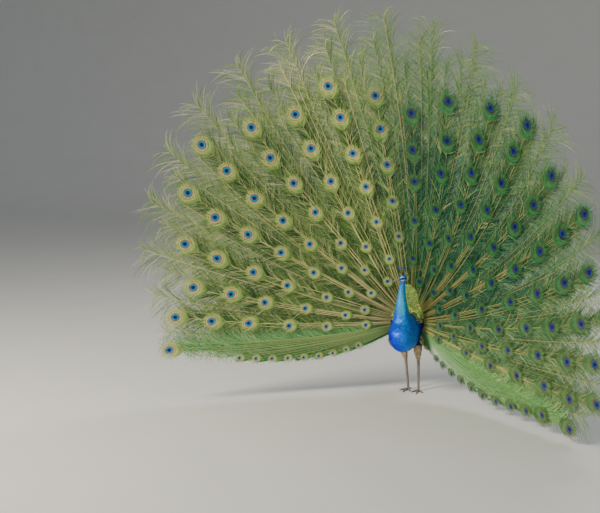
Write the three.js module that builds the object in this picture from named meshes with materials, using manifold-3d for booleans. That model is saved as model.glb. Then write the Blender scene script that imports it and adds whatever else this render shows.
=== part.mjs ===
// A life-size peacock (Pavo cristatus, adult male) standing in full display.
// Millimetres, +Z up. The bird faces -Y, its left side is +X, and it stands on the floor at z = 0.
import * as THREE from "three";
import { mergeVertices } from "three/addons/utils/BufferGeometryUtils.js";
import Module from "manifold-3d";

const wasm = await Module();
wasm.setup();

// ---------------------------------------------------------------- driving dimensions

const gap = 0.3; // clearance between neighbouring pieces

// The train is a dish of feathers that fan out from one root on the bird's back.
const train = {
  root_height: 360,
  rays: 21, // feathers with an eye at the rim
  ray_spacing: THREE.MathUtils.degToRad(9.77),
  roll: THREE.MathUtils.degToRad(6.5), // the middle feather leans to the bird's left
  tilt: THREE.MathUtils.degToRad(7.4), // the whole dish leans forward
  lean: 0.0844, // forward reach for each mm of feather
  arch: 0.0001207, // and for each square mm, so that the tips bend over
  side_sweep: 0.5583, // the side feathers come forward by this much more
  side_shortening: 0.2217, // and stand this much nearer to the root
  upward_curl: 0.0001767, // radians for each mm: the side feathers bend upward at the tips
  curl_from: 800,
};
const eye_feather = {
  first_eye: 368.4,
  eye_step: 214.1,
  step_loss: 5.5, // each eye further out is a little closer to the last
  tip_beyond_eye: 58,
  vane_half_width: 23,
  full_width_at: 1100, // the bare lower vane has widened to this point
  lobe_half_width: 49, // the broad vane round the eye
  lobe_length: 150,
  shed: [-9, -8, -7, -3, -1, 0, 1], // rays that have lost their outermost feather
};
const fishtail_feather = {
  top_length: 1620,
  left_length: 1420,
  right_length: 1350,
  right_power: 4, // on the bird's right the length holds longer and then falls off
  stem_half_width: 4.5,
  fork_half_width: 40,
  fork_length: 190,
  narrow_at: 620, // the vane has narrowed to the bare quill at this point
  behind: 7, // these feathers lie behind the eyed ones
};
// Near the root the feathers of a sector are still one sheet, which fills this share of the fan.
const palm = { inner: 122, outer: 350, fill: 0.36, thickness: 1.6 };
// Short stiff feathers close the fan below its last ray on both sides.
const edge_vane = { half_width: 95, from: 250, full: 480, fading: 800, to: 1180 };
const vane_thickness = 0.6;
const sector_feathers = 4; // the last sector has one more
const sectors = 10;

const trunk = {
  breast_y: -235,
  rump_y: 205,
  half_width: 75,
  back_height: 100,
  belly_depth: 106,
  centre_height: 320,
  rump_rise: 30,
};
const mantle = { base: 40, top: 212, half_width: 62, thickness: 26 };
const root_disc = { radius: 121, thickness: 13 };

const neck_bottom = { x: 0, y: -122, z: 335, side: 66, depth: 68 };
const neck_join_height = 470; // the lower and the upper length of the neck meet here
const neck_top = { x: 13, y: -186, z: 602, side: 13.5, depth: 14.5 };
const neck_sway = 7; // the middle of the neck bows this far to the bird's right

const head = {
  centre: new THREE.Vector3(12, -189, 613),
  turn: THREE.MathUtils.degToRad(44), // toward the bird's right
  nod: THREE.MathUtils.degToRad(5),
  length: 48,
  half_width: 14.5,
  crown_height: 18,
  throat_depth: 17,
  bill_root: { half_width: 6.8, crown_height: 6.5, throat_depth: 9.5 },
};
const bill = {
  length: 34,
  half_width: 6.4,
  upper_height: 9.6,
  lower_depth: 4.6,
  seam: -4.4, // the height of the gape below the middle of the head
  droop: 1.6,
  hook: 2.2,
};
const eye = { radius: 5.6, forward: 6, up: 3.5, out: 8.6 };
const crest = {
  feathers: 9,
  spread: THREE.MathUtils.degToRad(58),
  root: new THREE.Vector3(0, 4, 17), // above and behind the middle of the head
  length: 51,
  root_depth: 4, // the quills start this far inside the skull
  root_half_width: 1.6,
  quill_half_width: 0.6,
  blade_half_width: 3.2,
  tip_half_width: 1.2,
  thickness: 1.2,
};

const wing = {
  shoulder: { y: -108, z: 294 },
  tip: { y: 262, z: 176 }, // lowered, with the quill tips below the rump
  half_depth: 46,
  thickness: 12,
  shoulder_stand_off: 9, // from the widest line of the trunk
  tip_tuck: 22, // the wing tips close in over the rump
  lean: 14, // the upper edge leans in over the back
};
const tail = {
  feathers: 18,
  length: 430,
  spread: THREE.MathUtils.degToRad(118),
  behind: 15, // behind the train at the root
  sweep_back: 26, // and further behind it at the tips
  notch: 0.95, // the hollows between the tips lie this much nearer to the root
  thickness: 1.2,
};

const hip = { x: 43, y: -14, z: 262 };
const hock = { x: 37, y: 4, z: 158 };
const hock_share = 0.35; // the hocks stand this much of the way from below the hips to above the feet
const thigh = { top_radius: 26, hock_radius: 9.5, bulge: 4 };
const shank = { hock_radius: 8.2, ankle_radius: 6 };
const ankle = { height: 17, top_radius: 6.2, bottom_radius: 8.5, bottom: 5, set_back: 3 };
const spur = { place: 0.66, length: 25, rise: 5, root_radius: 3.6, tip_radius: 0.6 };
const foot_left = { x: 60, y: -38 };
const foot_right = { x: 0, y: -26 };
const foot_turn = 0.12; // radians outward
const toe_spread = 0.62;
const middle_toe = { length: 78, radius: 5 };
const side_toe = { length: 56, radius: 4.6 };
const hind_toe = { length: 34, radius: 3.8 };
const claw_share = 0.2; // of each toe's length

// ---------------------------------------------------------------- materials

const paint = (color, roughness, metalness = 0) =>
  new THREE.MeshStandardMaterial({ color, roughness, metalness, side: THREE.DoubleSide });
const royal_blue = paint("#1458c8", 0.45, 0.3);
const scale_green = paint("#7f9a3c", 0.5, 0.3);
const train_green = paint("#5f7a3e", 0.6, 0.2);
const tail_brown = paint("#5c5347", 0.8);
const wing_brown = paint("#8a6a4c", 0.8);
const thigh_buff = paint("#a08a6c", 0.9);
const leg_grey = paint("#8b867c", 0.7);
const bill_horn = paint("#8d8878", 0.5);
const eye_dark = paint("#2a1a10", 0.1);

// ---------------------------------------------------------------- solids from points

const vec = (x, y, z) => new THREE.Vector3(x, y, z);
const mix = THREE.MathUtils.lerp;
const clamp01 = (t) => Math.min(1, Math.max(0, t));
const smooth = (a, b, t) => THREE.MathUtils.smoothstep(t, a, b);
const quarterRound = (t) => Math.sqrt(Math.max(0, 1 - (1 - t) ** 2)); // rises from 0 to 1 like a dome

// A closed geometry from points and triangles, turned so that its faces point outward.
function solid(points, triangles) {
  let volume = 0;
  for (const [a, b, c] of triangles) {
    volume += points[a].dot(points[b].clone().cross(points[c]));
  }
  const faces = volume < 0 ? triangles.map(([a, b, c]) => [a, c, b]) : triangles;
  const geometry = new THREE.BufferGeometry();
  geometry.setAttribute(
    "position",
    new THREE.Float32BufferAttribute(points.flatMap((p) => [p.x, p.y, p.z]), 3),
  );
  geometry.setIndex(faces.flat());
  geometry.computeVertexNormals();
  return geometry;
}

// A closed body through rings of points, with a flat or a pointed fan at each end.
function loft(rings) {
  const count = rings[0].length;
  const points = rings.flat();
  const triangles = [];
  for (let r = 0; r + 1 < rings.length; r += 1) {
    for (let i = 0; i < count; i += 1) {
      const j = (i + 1) % count;
      const a = r * count + i;
      const b = r * count + j;
      triangles.push([a, b, b + count], [a, b + count, a + count]);
    }
  }
  const last = (rings.length - 1) * count;
  const start = points.push(centreOf(rings[0])) - 1;
  const end = points.push(centreOf(rings[rings.length - 1])) - 1;
  for (let i = 0; i < count; i += 1) {
    const j = (i + 1) % count;
    triangles.push([start, j, i], [end, last + i, last + j]);
  }
  return solid(points, triangles);
}

function centreOf(ring) {
  const sum = ring.reduce((total, p) => total.add(p), vec(0, 0, 0));
  return sum.divideScalar(ring.length);
}

// A ring of points round a centre: side and lift are its half axes, and sag is the lower one.
function ring(centre, side, lift, count, sag = lift) {
  const points = [];
  for (let i = 0; i < count; i += 1) {
    const t = (i / count) * 2 * Math.PI;
    const below = Math.sin(t) < 0;
    const point = centre.clone().addScaledVector(side, Math.cos(t));
    points.push(point.addScaledVector(below ? sag : lift, Math.sin(t)));
  }
  return points;
}

// A thin closed sheet: middle points with a normal and a thickness, joined by quads.
// Edges that belong to one quad only get a wall.
function sheet(nodes, quads) {
  const points = [];
  for (const sign of [1, -1]) {
    for (const n of nodes) {
      points.push(n.point.clone().addScaledVector(n.normal, (sign * n.thickness) / 2));
    }
  }
  const half = nodes.length;
  const triangles = [];
  const edges = new Map();
  for (const [a, b, c, d] of quads) {
    triangles.push([a, b, c], [a, c, d]);
    triangles.push([a + half, c + half, b + half], [a + half, d + half, c + half]);
    for (const [p, q] of [[a, b], [b, c], [c, d], [d, a]]) {
      if (!edges.delete(q + ":" + p)) edges.set(p + ":" + q, [p, q]);
    }
  }
  for (const [p, q] of edges.values()) {
    triangles.push([q, p, p + half], [q, p + half, q + half]);
  }
  return solid(points, triangles);
}

// Booleans with manifold-3d.
function toManifold(geometry) {
  const bare = new THREE.BufferGeometry();
  bare.setAttribute("position", geometry.getAttribute("position").clone());
  bare.setIndex(geometry.index ? geometry.index.clone() : null);
  const merged = mergeVertices(bare, 1e-4);
  return new wasm.Manifold(
    new wasm.Mesh({
      numProp: 3,
      vertProperties: new Float32Array(merged.getAttribute("position").array),
      triVerts: new Uint32Array(merged.index.array),
    }),
  );
}

function fromManifold(body) {
  const mesh = body.getMesh();
  const geometry = new THREE.BufferGeometry();
  geometry.setAttribute("position", new THREE.BufferAttribute(mesh.vertProperties, 3));
  geometry.setIndex(new THREE.BufferAttribute(mesh.triVerts, 1));
  geometry.computeVertexNormals();
  return geometry;
}

const cut = (geometry, ...cutters) =>
  fromManifold(cutters.reduce((body, c) => body.subtract(toManifold(c)), toManifold(geometry)));
const join = (...pieces) =>
  fromManifold(pieces.slice(1).reduce((body, p) => body.add(toManifold(p)), toManifold(pieces[0])));

// ---------------------------------------------------------------- the scene graph

const bird = new THREE.Group();

function add(name, geometry, material, parent = bird) {
  const mesh = new THREE.Mesh(geometry, material);
  mesh.name = name;
  parent.add(mesh);
  return mesh;
}

// ---------------------------------------------------------------- trunk

// The trunk is laid along Y, blunt at the breast, flat along the back and tapered to the rump.
// Swell makes it larger all round.
function trunkBody(swell = 0) {
  const steps = 14;
  const rings = [];
  const middle = (trunk.breast_y + trunk.rump_y) / 2;
  const half = (trunk.rump_y - trunk.breast_y) / 2 + swell;
  for (let k = 0; k <= steps; k += 1) {
    const u = -Math.cos(Math.PI * mix(0.03, 0.97, k / steps)); // -1 at the rump, 1 at the breast
    const plan = u < 0 ? (1 - u * u) ** 0.62 : (1 - u ** 5) ** 0.45;
    const back = u < 0 ? (1 - u ** 4) ** 0.5 : (1 - u ** 3) ** 0.5;
    const belly = u < 0 ? (1 - u * u) ** 0.8 : (1 - u ** 4) ** 0.45;
    const rise = trunk.rump_rise * (0.5 - 0.5 * u) ** 2;
    const centre = vec(0, middle - u * half, trunk.centre_height + rise);
    const side = vec(trunk.half_width * plan + swell, 0, 0);
    const lift = vec(0, 0, trunk.back_height * back + swell);
    const sag = vec(0, 0, trunk.belly_depth * belly + swell);
    rings.push(ring(centre, side, lift, 18, sag));
  }
  return loft(rings);
}

// ---------------------------------------------------------------- train

// A point of the dish: the angle is from straight up, toward the bird's left.
function trainPoint(angle, length) {
  const reach = length * (1 - train.side_shortening * (1 - Math.cos(angle)));
  const bearing = angle - train.upward_curl * (reach - train.curl_from) * Math.sin(angle);
  const up = reach * Math.cos(bearing);
  const forward =
    reach * (train.lean + train.arch * reach + train.side_sweep * Math.sin(angle) ** 2);
  const c = Math.cos(train.tilt);
  const s = Math.sin(train.tilt);
  const height = train.root_height + up * c - forward * s;
  return vec(reach * Math.sin(bearing), -forward * c - up * s, height);
}

// The dish's own directions at a point: across the feathers, along them, and out of its hollow face.
function trainFrame(angle, length) {
  const step = 0.01;
  const across = trainPoint(angle + step, length).sub(trainPoint(angle - step, length)).normalize();
  const along = trainPoint(angle, length + 1).sub(trainPoint(angle, length - 1)).normalize();
  const face = across.clone().cross(along).normalize(); // toward the viewer in front of the bird
  return { point: trainPoint(angle, length), across, along, face };
}

const last_ray = (train.rays - 1) / 2;
const rayAngle = (i) => train.roll + i * train.ray_spacing;

// The outermost eye of a ray. Every second ray starts half a step further in, and ends further out.
function outerEye(i) {
  const k = (i % 2 === 0 ? 5 : 5.5) - (eye_feather.shed.includes(i) ? 1 : 0);
  return eye_feather.first_eye + k * eye_feather.eye_step - eye_feather.step_loss * k * k;
}

// Half the width of a feather where it leaves the palm.
const stem_start = palm.fill * 0.5 * train.ray_spacing * palm.outer;

// Half the width of an eyed feather at a distance from the root: a stem, a broad lobe and a round end.
function eyeFeatherWidth(length, tip) {
  const widened = smooth(palm.outer, eye_feather.full_width_at, length);
  const stem = mix(stem_start, eye_feather.vane_half_width, widened);
  const t = clamp01((tip - length) / eye_feather.lobe_length);
  const lobe = eye_feather.lobe_half_width * quarterRound(t) * (1 - smooth(0.55, 1, t));
  return Math.max(stem * quarterRound(clamp01(t * 3)), lobe, vane_thickness);
}

// Half the width of a fishtail feather: a bare quill that ends in a wide fork.
function fishtailWidth(length, tip) {
  const narrowed = smooth(palm.outer, fishtail_feather.narrow_at, length);
  const stem = mix(stem_start, fishtail_feather.stem_half_width, narrowed);
  const t = clamp01((tip - length) / fishtail_feather.fork_length);
  const fork = fishtail_feather.fork_half_width * (1 - t) ** 0.7 * (0.55 + 0.45 * smooth(0, 0.25, t));
  return Math.max(stem, t < 1 ? fork : 0);
}

// How far the edge feathers reach below the last ray at a distance from the root.
function edgeWidth(length) {
  const growing = smooth(edge_vane.from, edge_vane.full, length);
  return edge_vane.half_width * growing * (1 - smooth(edge_vane.fading, edge_vane.to, length));
}

// Fingers are the feathers in order round the dish: even ones end in an eye, odd ones in a fishtail.
function fingerOf(number) {
  const i = number / 2 - last_ray;
  const angle = rayAngle(i);
  if (number % 2 === 0) {
    const tip = outerEye(i) + eye_feather.tip_beyond_eye;
    const edge = Math.abs(i) === last_ray ? Math.sign(i) : 0; // the side that closes the fan
    return { angle, tip, width: (s) => eyeFeatherWidth(s, tip), behind: 0, eyed: true, edge };
  }
  const sideways = Math.sin(Math.min(Math.abs(angle), Math.PI / 2));
  const [side_length, power] =
    angle > 0
      ? [fishtail_feather.left_length, 2]
      : [fishtail_feather.right_length, fishtail_feather.right_power];
  const tip = mix(fishtail_feather.top_length, side_length, sideways ** power);
  const behind = fishtail_feather.behind;
  return { angle, tip, width: (s) => fishtailWidth(s, tip), behind, eyed: false, edge: 0 };
}

// Lengths at which a finger has its rows: few along the stem and more at the end.
function fingerRows(finger) {
  const end_length = finger.eyed ? eye_feather.lobe_length : fishtail_feather.fork_length;
  const stem_end = finger.tip - end_length;
  const end_shares = finger.eyed ? [0.3, 0.55, 0.78, 0.92, 1] : [0.35, 0.7, 0.88, 1];
  return [
    ...[0.2, 0.6, 1].map((t) => mix(palm.outer, stem_end, t)),
    ...end_shares.map((t) => mix(stem_end, finger.tip, t)),
  ];
}

// One sector of the train: a palm of overlapping feather bases and its fingers.
function trainSector(first, last) {
  const nodes = [];
  const quads = [];
  const node = (frame, shift, behind, thickness) =>
    nodes.push({
      point: frame.point.addScaledVector(frame.across, shift).addScaledVector(frame.face, -behind),
      normal: frame.face,
      thickness,
    }) - 1;
  const half_angle = (palm.fill * train.ray_spacing) / 2;
  const palm_rows = [0, 1, 2, 3].map((k) => mix(palm.inner, palm.outer, k / 3));
  const fingers = [];
  for (let n = first; n <= last; n += 1) fingers.push(fingerOf(n));
  const grid = palm_rows.map((s) =>
    fingers.flatMap((f) =>
      [-1, 1].map((side) => {
        const frame = trainFrame(f.angle + side * half_angle, s);
        const outward = (s - palm.inner) / (palm.outer - palm.inner);
        return node(frame, 0, 0, mix(palm.thickness, vane_thickness, outward));
      }),
    ),
  );
  for (let r = 0; r + 1 < grid.length; r += 1) {
    for (let c = 0; c + 1 < grid[r].length; c += 1) {
      quads.push([grid[r][c], grid[r][c + 1], grid[r + 1][c + 1], grid[r + 1][c]]);
    }
  }
  fingers.forEach((f, index) => {
    let previous = [grid[grid.length - 1][2 * index], grid[grid.length - 1][2 * index + 1]];
    for (const s of fingerRows(f)) {
      const behind = f.behind * smooth(palm.outer, fishtail_feather.narrow_at, s);
      const row = [-1, 1].map((side) => {
        const width = Math.max(f.width(s), side === f.edge ? edgeWidth(s) : 0);
        return node(trainFrame(f.angle, s), side * width, behind, vane_thickness);
      });
      quads.push([previous[0], previous[1], row[1], row[0]]);
      previous = row;
    }
  });
  return sheet(nodes, quads);
}

// A patch of the dish between two angles, with its own front and back faces at each distance.
function dishPatch(low, high, rows, columns, front, back) {
  const nodes = [];
  const quads = [];
  for (const s of rows) {
    for (let c = 0; c <= columns; c += 1) {
      const f = trainFrame(mix(low, high, c / columns), s);
      f.point.addScaledVector(f.face, (front(s) - back(s)) / 2);
      nodes.push({ point: f.point, normal: f.face, thickness: front(s) + back(s) });
    }
  }
  for (let r = 0; r + 1 < rows.length; r += 1) {
    for (let c = 0; c < columns; c += 1) {
      const a = r * (columns + 1) + c;
      quads.push([a, a + 1, a + columns + 2, a + columns + 1]);
    }
  }
  return sheet(nodes, quads);
}

const train_low = rayAngle(-last_ray - 0.7);
const train_high = rayAngle(last_ray + 0.7);
const rootHalfThickness = (s) =>
  mix(root_disc.thickness / 2, 1, clamp01(s / root_disc.radius) ** 1.5);

// The disc of muscle and feather bases from which the train rises.
function trainRoot() {
  const rows = [12, 50, 90, root_disc.radius - gap];
  return dishPatch(train_low, train_high, rows, 18, rootHalfThickness, rootHalfThickness);
}

// All that lies behind the train's hollow face, to trim what stands in front of it.
function behindTrain() {
  const rows = [8, 50, 90, 130, 170, 210, 250];
  const front = (s) => rootHalfThickness(s) + 2 * gap;
  return dishPatch(train_low, train_high, rows, 24, front, () => 70);
}

// The tongue of small golden scale feathers that stands up behind the neck, in front of the train.
function mantleBody() {
  const rings = [];
  const steps = 9;
  for (let k = 0; k <= steps; k += 1) {
    const t = mix(0.02, 0.985, k / steps);
    const f = trainFrame(0, mix(mantle.base, mantle.top, t));
    const round = Math.sqrt(1 - clamp01((t - 0.45) / 0.55) ** 2);
    const half_thickness = (mantle.thickness / 2) * Math.max(0.16, round * (1 - 0.45 * t));
    f.point.addScaledVector(f.face, half_thickness);
    const side = f.across.multiplyScalar(mantle.half_width * round);
    rings.push(ring(f.point, side, f.face.multiplyScalar(half_thickness), 16));
  }
  return loft(rings);
}

// ---------------------------------------------------------------- neck, head, bill, eyes and crest

// The neck's centre line and half axes between its bottom (t = 0) and its top (t = 1).
function neckStation(t) {
  const flare = (1 - t) ** 1.5;
  const x = mix(neck_bottom.x, neck_top.x, t) - neck_sway * Math.sin(Math.PI * t);
  const y = mix(neck_top.y, neck_bottom.y, (1 - t) ** 1.25);
  return {
    centre: vec(x, y, mix(neck_bottom.z, neck_top.z, t)),
    side: mix(neck_top.side, neck_bottom.side, flare),
    depth: mix(neck_top.depth, neck_bottom.depth, flare),
  };
}

function neckLength(from, to, steps, swell = 0) {
  const rings = [];
  for (let k = 0; k <= steps; k += 1) {
    const s = neckStation(mix(from, to, k / steps));
    rings.push(ring(s.centre, vec(s.side + swell, 0, 0), vec(0, s.depth + swell, 0), 18));
  }
  return loft(rings);
}

// The head lies along its own -Y, from the nape at +Y to the root of the bill.
function headBody(swell = 0) {
  const rings = [];
  const steps = 10;
  for (let k = 0; k <= steps; k += 1) {
    const t = mix(0.02, 1, (k / steps) ** 1.3);
    const nape = Math.sqrt(1 - (1 - clamp01(t / 0.42)) ** 2);
    const front = smooth(0.5, 1, t);
    const width = mix(head.half_width * nape, head.bill_root.half_width, front) + swell;
    const crown = mix(head.crown_height * nape, head.bill_root.crown_height, front) + swell;
    const throat = mix(head.throat_depth * nape, head.bill_root.throat_depth, front) + swell;
    const y = head.length * (0.5 - t) + swell * (1 - 2 * t);
    rings.push(ring(vec(0, y, 0), vec(width, 0, 0), vec(0, 0, crown), 16, vec(0, 0, throat)));
  }
  return loft(rings);
}

// The upper half of the bill curves down over the lower one.
function billHalf(upper) {
  const rings = [];
  const steps = 6;
  const sides = 7;
  const root_y = -head.length / 2 - gap;
  const length = upper ? bill.length : bill.length * 0.8;
  for (let k = 0; k <= steps; k += 1) {
    const t = k / steps;
    const taper = Math.sqrt(Math.max(0.012, 1 - t ** 1.7));
    const width = bill.half_width * mix(1, 0.55, t) * taper;
    const share = (t * length) / bill.length;
    const seam = bill.seam - bill.droop * share ** 2 - bill.hook * smooth(0.8, 1, share);
    const height = (upper ? bill.upper_height : bill.lower_depth) * taper * mix(1, 0.75, t);
    const points = [];
    for (let i = 0; i <= sides; i += 1) {
      const a = (Math.PI * i) / sides;
      const z = seam + (upper ? 1 : -1) * (gap / 2 + height * Math.sin(a) ** 0.9);
      points.push(vec(width * Math.cos(a), root_y - t * length, z));
    }
    rings.push(points);
  }
  return loft(rings);
}

// One crest feather: a bare quill that ends in a small blade, in the head's middle plane.
function crestFeather(angle) {
  const widths = [
    [0, crest.root_half_width],
    [0.74, crest.quill_half_width],
    [0.88, crest.blade_half_width],
    [1, crest.tip_half_width],
  ];
  const along = vec(0, Math.sin(angle), Math.cos(angle));
  const across = vec(0, Math.cos(angle), -Math.sin(angle));
  const nodes = [];
  const quads = [];
  widths.forEach(([t, width], row) => {
    const s = mix(-crest.root_depth, crest.length, t);
    for (const side of [-1, 1]) {
      const point = along.clone().multiplyScalar(s).addScaledVector(across, side * width);
      nodes.push({ point, normal: vec(1, 0, 0), thickness: crest.thickness });
    }
    if (row > 0) quads.push([2 * row - 2, 2 * row - 1, 2 * row + 1, 2 * row]);
  });
  return sheet(nodes, quads);
}

function crestBody() {
  const feathers = [];
  for (let i = 0; i < crest.feathers; i += 1) {
    feathers.push(crestFeather(crest.spread * (i / (crest.feathers - 1) - 0.5)));
  }
  return join(...feathers);
}

// ---------------------------------------------------------------- wings and tail

// A lowered wing: a lens-shaped plate that follows the flank, from the shoulder to the quill tips.
function wingBody(side) {
  const rings = [];
  const steps = 9;
  for (let k = 0; k <= steps; k += 1) {
    const t = k / steps;
    const y = mix(wing.shoulder.y, wing.tip.y, t);
    const z = mix(wing.shoulder.z, wing.tip.z, t ** 0.85);
    const outline = Math.max(0.14, quarterRound(clamp01(t * 2.6))) * (1 - 0.82 * t ** 1.6);
    const half_thickness = (wing.thickness / 2) * mix(1, 0.22, t);
    const x = trunk.half_width + wing.shoulder_stand_off - wing.tip_tuck * t ** 2;
    const upward = vec(-side * wing.lean * outline, 0, wing.half_depth * outline);
    rings.push(ring(vec(side * x, y, z), vec(side * half_thickness, 0, 0), upward, 12));
  }
  return loft(rings);
}

// The true tail: a fan of stiff brown quills that props the train from behind.
function tailFan() {
  const nodes = [];
  const quads = [];
  const rows = [0.3, 0.62, 0.9, 1];
  const columns = tail.feathers;
  for (const t of rows) {
    for (let c = 0; c <= columns; c += 1) {
      const angle = tail.spread * (c / columns - 0.5);
      const notch = t === 1 && c % 2 === 1 ? tail.notch : 1;
      const f = trainFrame(angle, tail.length * t * notch);
      f.point.addScaledVector(f.face, -tail.behind - tail.sweep_back * t);
      nodes.push({ point: f.point, normal: f.face, thickness: tail.thickness });
    }
  }
  for (let r = 0; r + 1 < rows.length; r += 1) {
    for (let c = 0; c < columns; c += 1) {
      const a = r * (columns + 1) + c;
      quads.push([a, a + 1, a + columns + 2, a + columns + 1]);
    }
  }
  return sheet(nodes, quads);
}

// ---------------------------------------------------------------- legs

// A round limb between two points. Swell makes it longer and thicker all round.
function limb(from, to, from_radius, to_radius, steps, count, bulge = 0, swell = 0) {
  const rings = [];
  const axis = to.clone().sub(from).normalize();
  const start = from.clone().addScaledVector(axis, -swell);
  const end = to.clone().addScaledVector(axis, swell);
  const side = vec(1, 0, 0).addScaledVector(axis, -axis.x).normalize();
  const lift = axis.clone().cross(side);
  for (let k = 0; k <= steps; k += 1) {
    const t = k / steps;
    const radius = mix(from_radius, to_radius, t) + bulge * Math.sin(Math.PI * t ** 0.8) + swell;
    const centre = start.clone().lerp(end, t);
    const half_side = side.clone().multiplyScalar(radius);
    rings.push(ring(centre, half_side, lift.clone().multiplyScalar(radius), count));
  }
  return loft(rings);
}

// A toe on the floor with its claw: a flat sole below and a rounded back above.
function toeBody(origin, heading, toe) {
  const rings = [];
  const steps = 6;
  const sides = 5;
  const forward = vec(Math.sin(heading), -Math.cos(heading), 0);
  const across = vec(Math.cos(heading), Math.sin(heading), 0);
  for (let k = 0; k <= steps; k += 1) {
    const t = k / steps;
    const knuckle = 1 + 0.12 * Math.cos(t * 3 * 2 * Math.PI);
    const claw = mix(1, 0.14, clamp01((t - 1) / claw_share + 1));
    const width = toe.radius * mix(1.1, 0.8, t) * knuckle * claw;
    const height = toe.radius * mix(2.2, 1.5, t) * claw;
    const centre = origin.clone().addScaledVector(forward, t * toe.length);
    const points = [];
    for (let i = 0; i <= sides; i += 1) {
      const a = (Math.PI * i) / sides;
      const point = centre.clone().addScaledVector(across, width * Math.cos(a));
      points.push(point.setZ(height * Math.sin(a) ** 0.8));
    }
    rings.push(points);
  }
  return loft(rings);
}

const thighBody = (top, knee, swell = 0) =>
  limb(top, knee, thigh.top_radius, thigh.hock_radius, 5, 12, thigh.bulge, swell);

function ankleBody(place, swell = 0) {
  const top = vec(place.x, place.y, ankle.height);
  const bottom = vec(place.x, place.y - ankle.set_back, ankle.bottom);
  return limb(top, bottom, ankle.top_radius, ankle.bottom_radius, 2, 10, 0, swell);
}

function footBody(place, turn) {
  const origin = vec(place.x, place.y, 0);
  return join(
    ankleBody(place),
    toeBody(origin, turn, middle_toe),
    toeBody(origin, turn + toe_spread, side_toe),
    toeBody(origin, turn - toe_spread, side_toe),
    toeBody(origin, turn + Math.PI, hind_toe),
  );
}

// The scaly lower leg with its spur, which points back.
function shankBody(top, place) {
  const bottom = vec(place.x, place.y, ankle.height - 1);
  const spur_root = top.clone().lerp(bottom, spur.place);
  const spur_tip = spur_root.clone().add(vec(0, spur.length, spur.rise));
  return join(
    limb(top, bottom, shank.hock_radius, shank.ankle_radius, 3, 10),
    limb(spur_root, spur_tip, spur.root_radius, spur.tip_radius, 1, 6),
  );
}

// ---------------------------------------------------------------- assembly

const trunk_cutter = trunkBody(gap);

add("trunk", trunkBody(), royal_blue);
add("mantle", cut(mantleBody(), trunk_cutter, behindTrain()), scale_green);
add("train_root", cut(trainRoot(), trunk_cutter), scale_green);

const last_finger = 2 * train.rays - 2;
for (let s = 0; s < sectors; s += 1) {
  const first = s * sector_feathers;
  const last = s === sectors - 1 ? last_finger : first + sector_feathers - 1;
  const name = "train_fan_" + String(s + 1).padStart(2, "0");
  add(name, trainSector(first, last), train_green);
}
add("tail", tailFan(), tail_brown);

const head_group = new THREE.Group();
head_group.position.copy(head.centre);
head_group.rotation.set(head.nod, 0, -head.turn, "ZXY");
bird.add(head_group);
head_group.updateMatrixWorld(true);

const eye_places = [1, -1].map((side) => vec(side * eye.out, -eye.forward, eye.up));
const eyeBall = (place, swell) =>
  new THREE.SphereGeometry(eye.radius + swell, 10, 7).translate(place.x, place.y, place.z);
const sockets = eye_places.map((place) => eyeBall(place, gap));
add("head", cut(headBody(), ...sockets), royal_blue, head_group);
add("eye_left", eyeBall(eye_places[0], 0), eye_dark, head_group);
add("eye_right", eyeBall(eye_places[1], 0), eye_dark, head_group);
add("bill_upper", billHalf(true), bill_horn, head_group);
add("bill_lower", billHalf(false), bill_horn, head_group);

const crest_group = new THREE.Group();
crest_group.position.copy(crest.root);
head_group.add(crest_group);
crest_group.updateMatrixWorld(true);
const head_in_crest = headBody(gap).applyMatrix4(crest_group.matrix.clone().invert());
add("crest", cut(crestBody(), head_in_crest), royal_blue, crest_group);

const join_t = (neck_join_height - neck_bottom.z) / (neck_top.z - neck_bottom.z);
const gap_t = gap / (neck_top.z - neck_bottom.z);
const head_cutter = headBody(gap).applyMatrix4(head_group.matrixWorld);
add("neck_lower", cut(neckLength(0, join_t, 6), trunk_cutter), royal_blue);
add("neck_upper", cut(neckLength(join_t + gap_t, 1, 6), head_cutter), royal_blue);

for (const [name, side, place] of [
  ["left", 1, foot_left],
  ["right", -1, foot_right],
]) {
  const top = vec(side * hip.x, hip.y, hip.z);
  const knee = vec(mix(side * hock.x, place.x, hock_share), hock.y, hock.z);
  add("wing_" + name, cut(wingBody(side), trunk_cutter), wing_brown);
  add("thigh_" + name, cut(thighBody(top, knee), trunk_cutter), thigh_buff);
  const shank_body = cut(shankBody(knee, place), thighBody(top, knee, gap), ankleBody(place, gap));
  add("shank_" + name, shank_body, leg_grey);
  add("foot_" + name, footBody(place, side * foot_turn), leg_grey);
}

// The part's origin is the middle of the bird's bounding box, on the floor.
const model = new THREE.Group();
model.add(bird);
model.updateMatrixWorld(true);
const box = new THREE.Box3().setFromObject(bird, true);
bird.position.set(-(box.min.x + box.max.x) / 2, -(box.min.y + box.max.y) / 2, 0);

export default model;
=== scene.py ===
# %% [markdown]
# # A peacock in full display
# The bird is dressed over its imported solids: one skin, a coat of small feathers, and a train of more
# than three hundred feathers with quills and loose barbs, nearly half of them with an eye.
# All lengths are metres. The bird faces -Y, its left side is +X, and it stands on z = 0.

import math

import bpy
import numpy as np
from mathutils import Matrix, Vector
from mathutils.bvhtree import BVHTree


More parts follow.
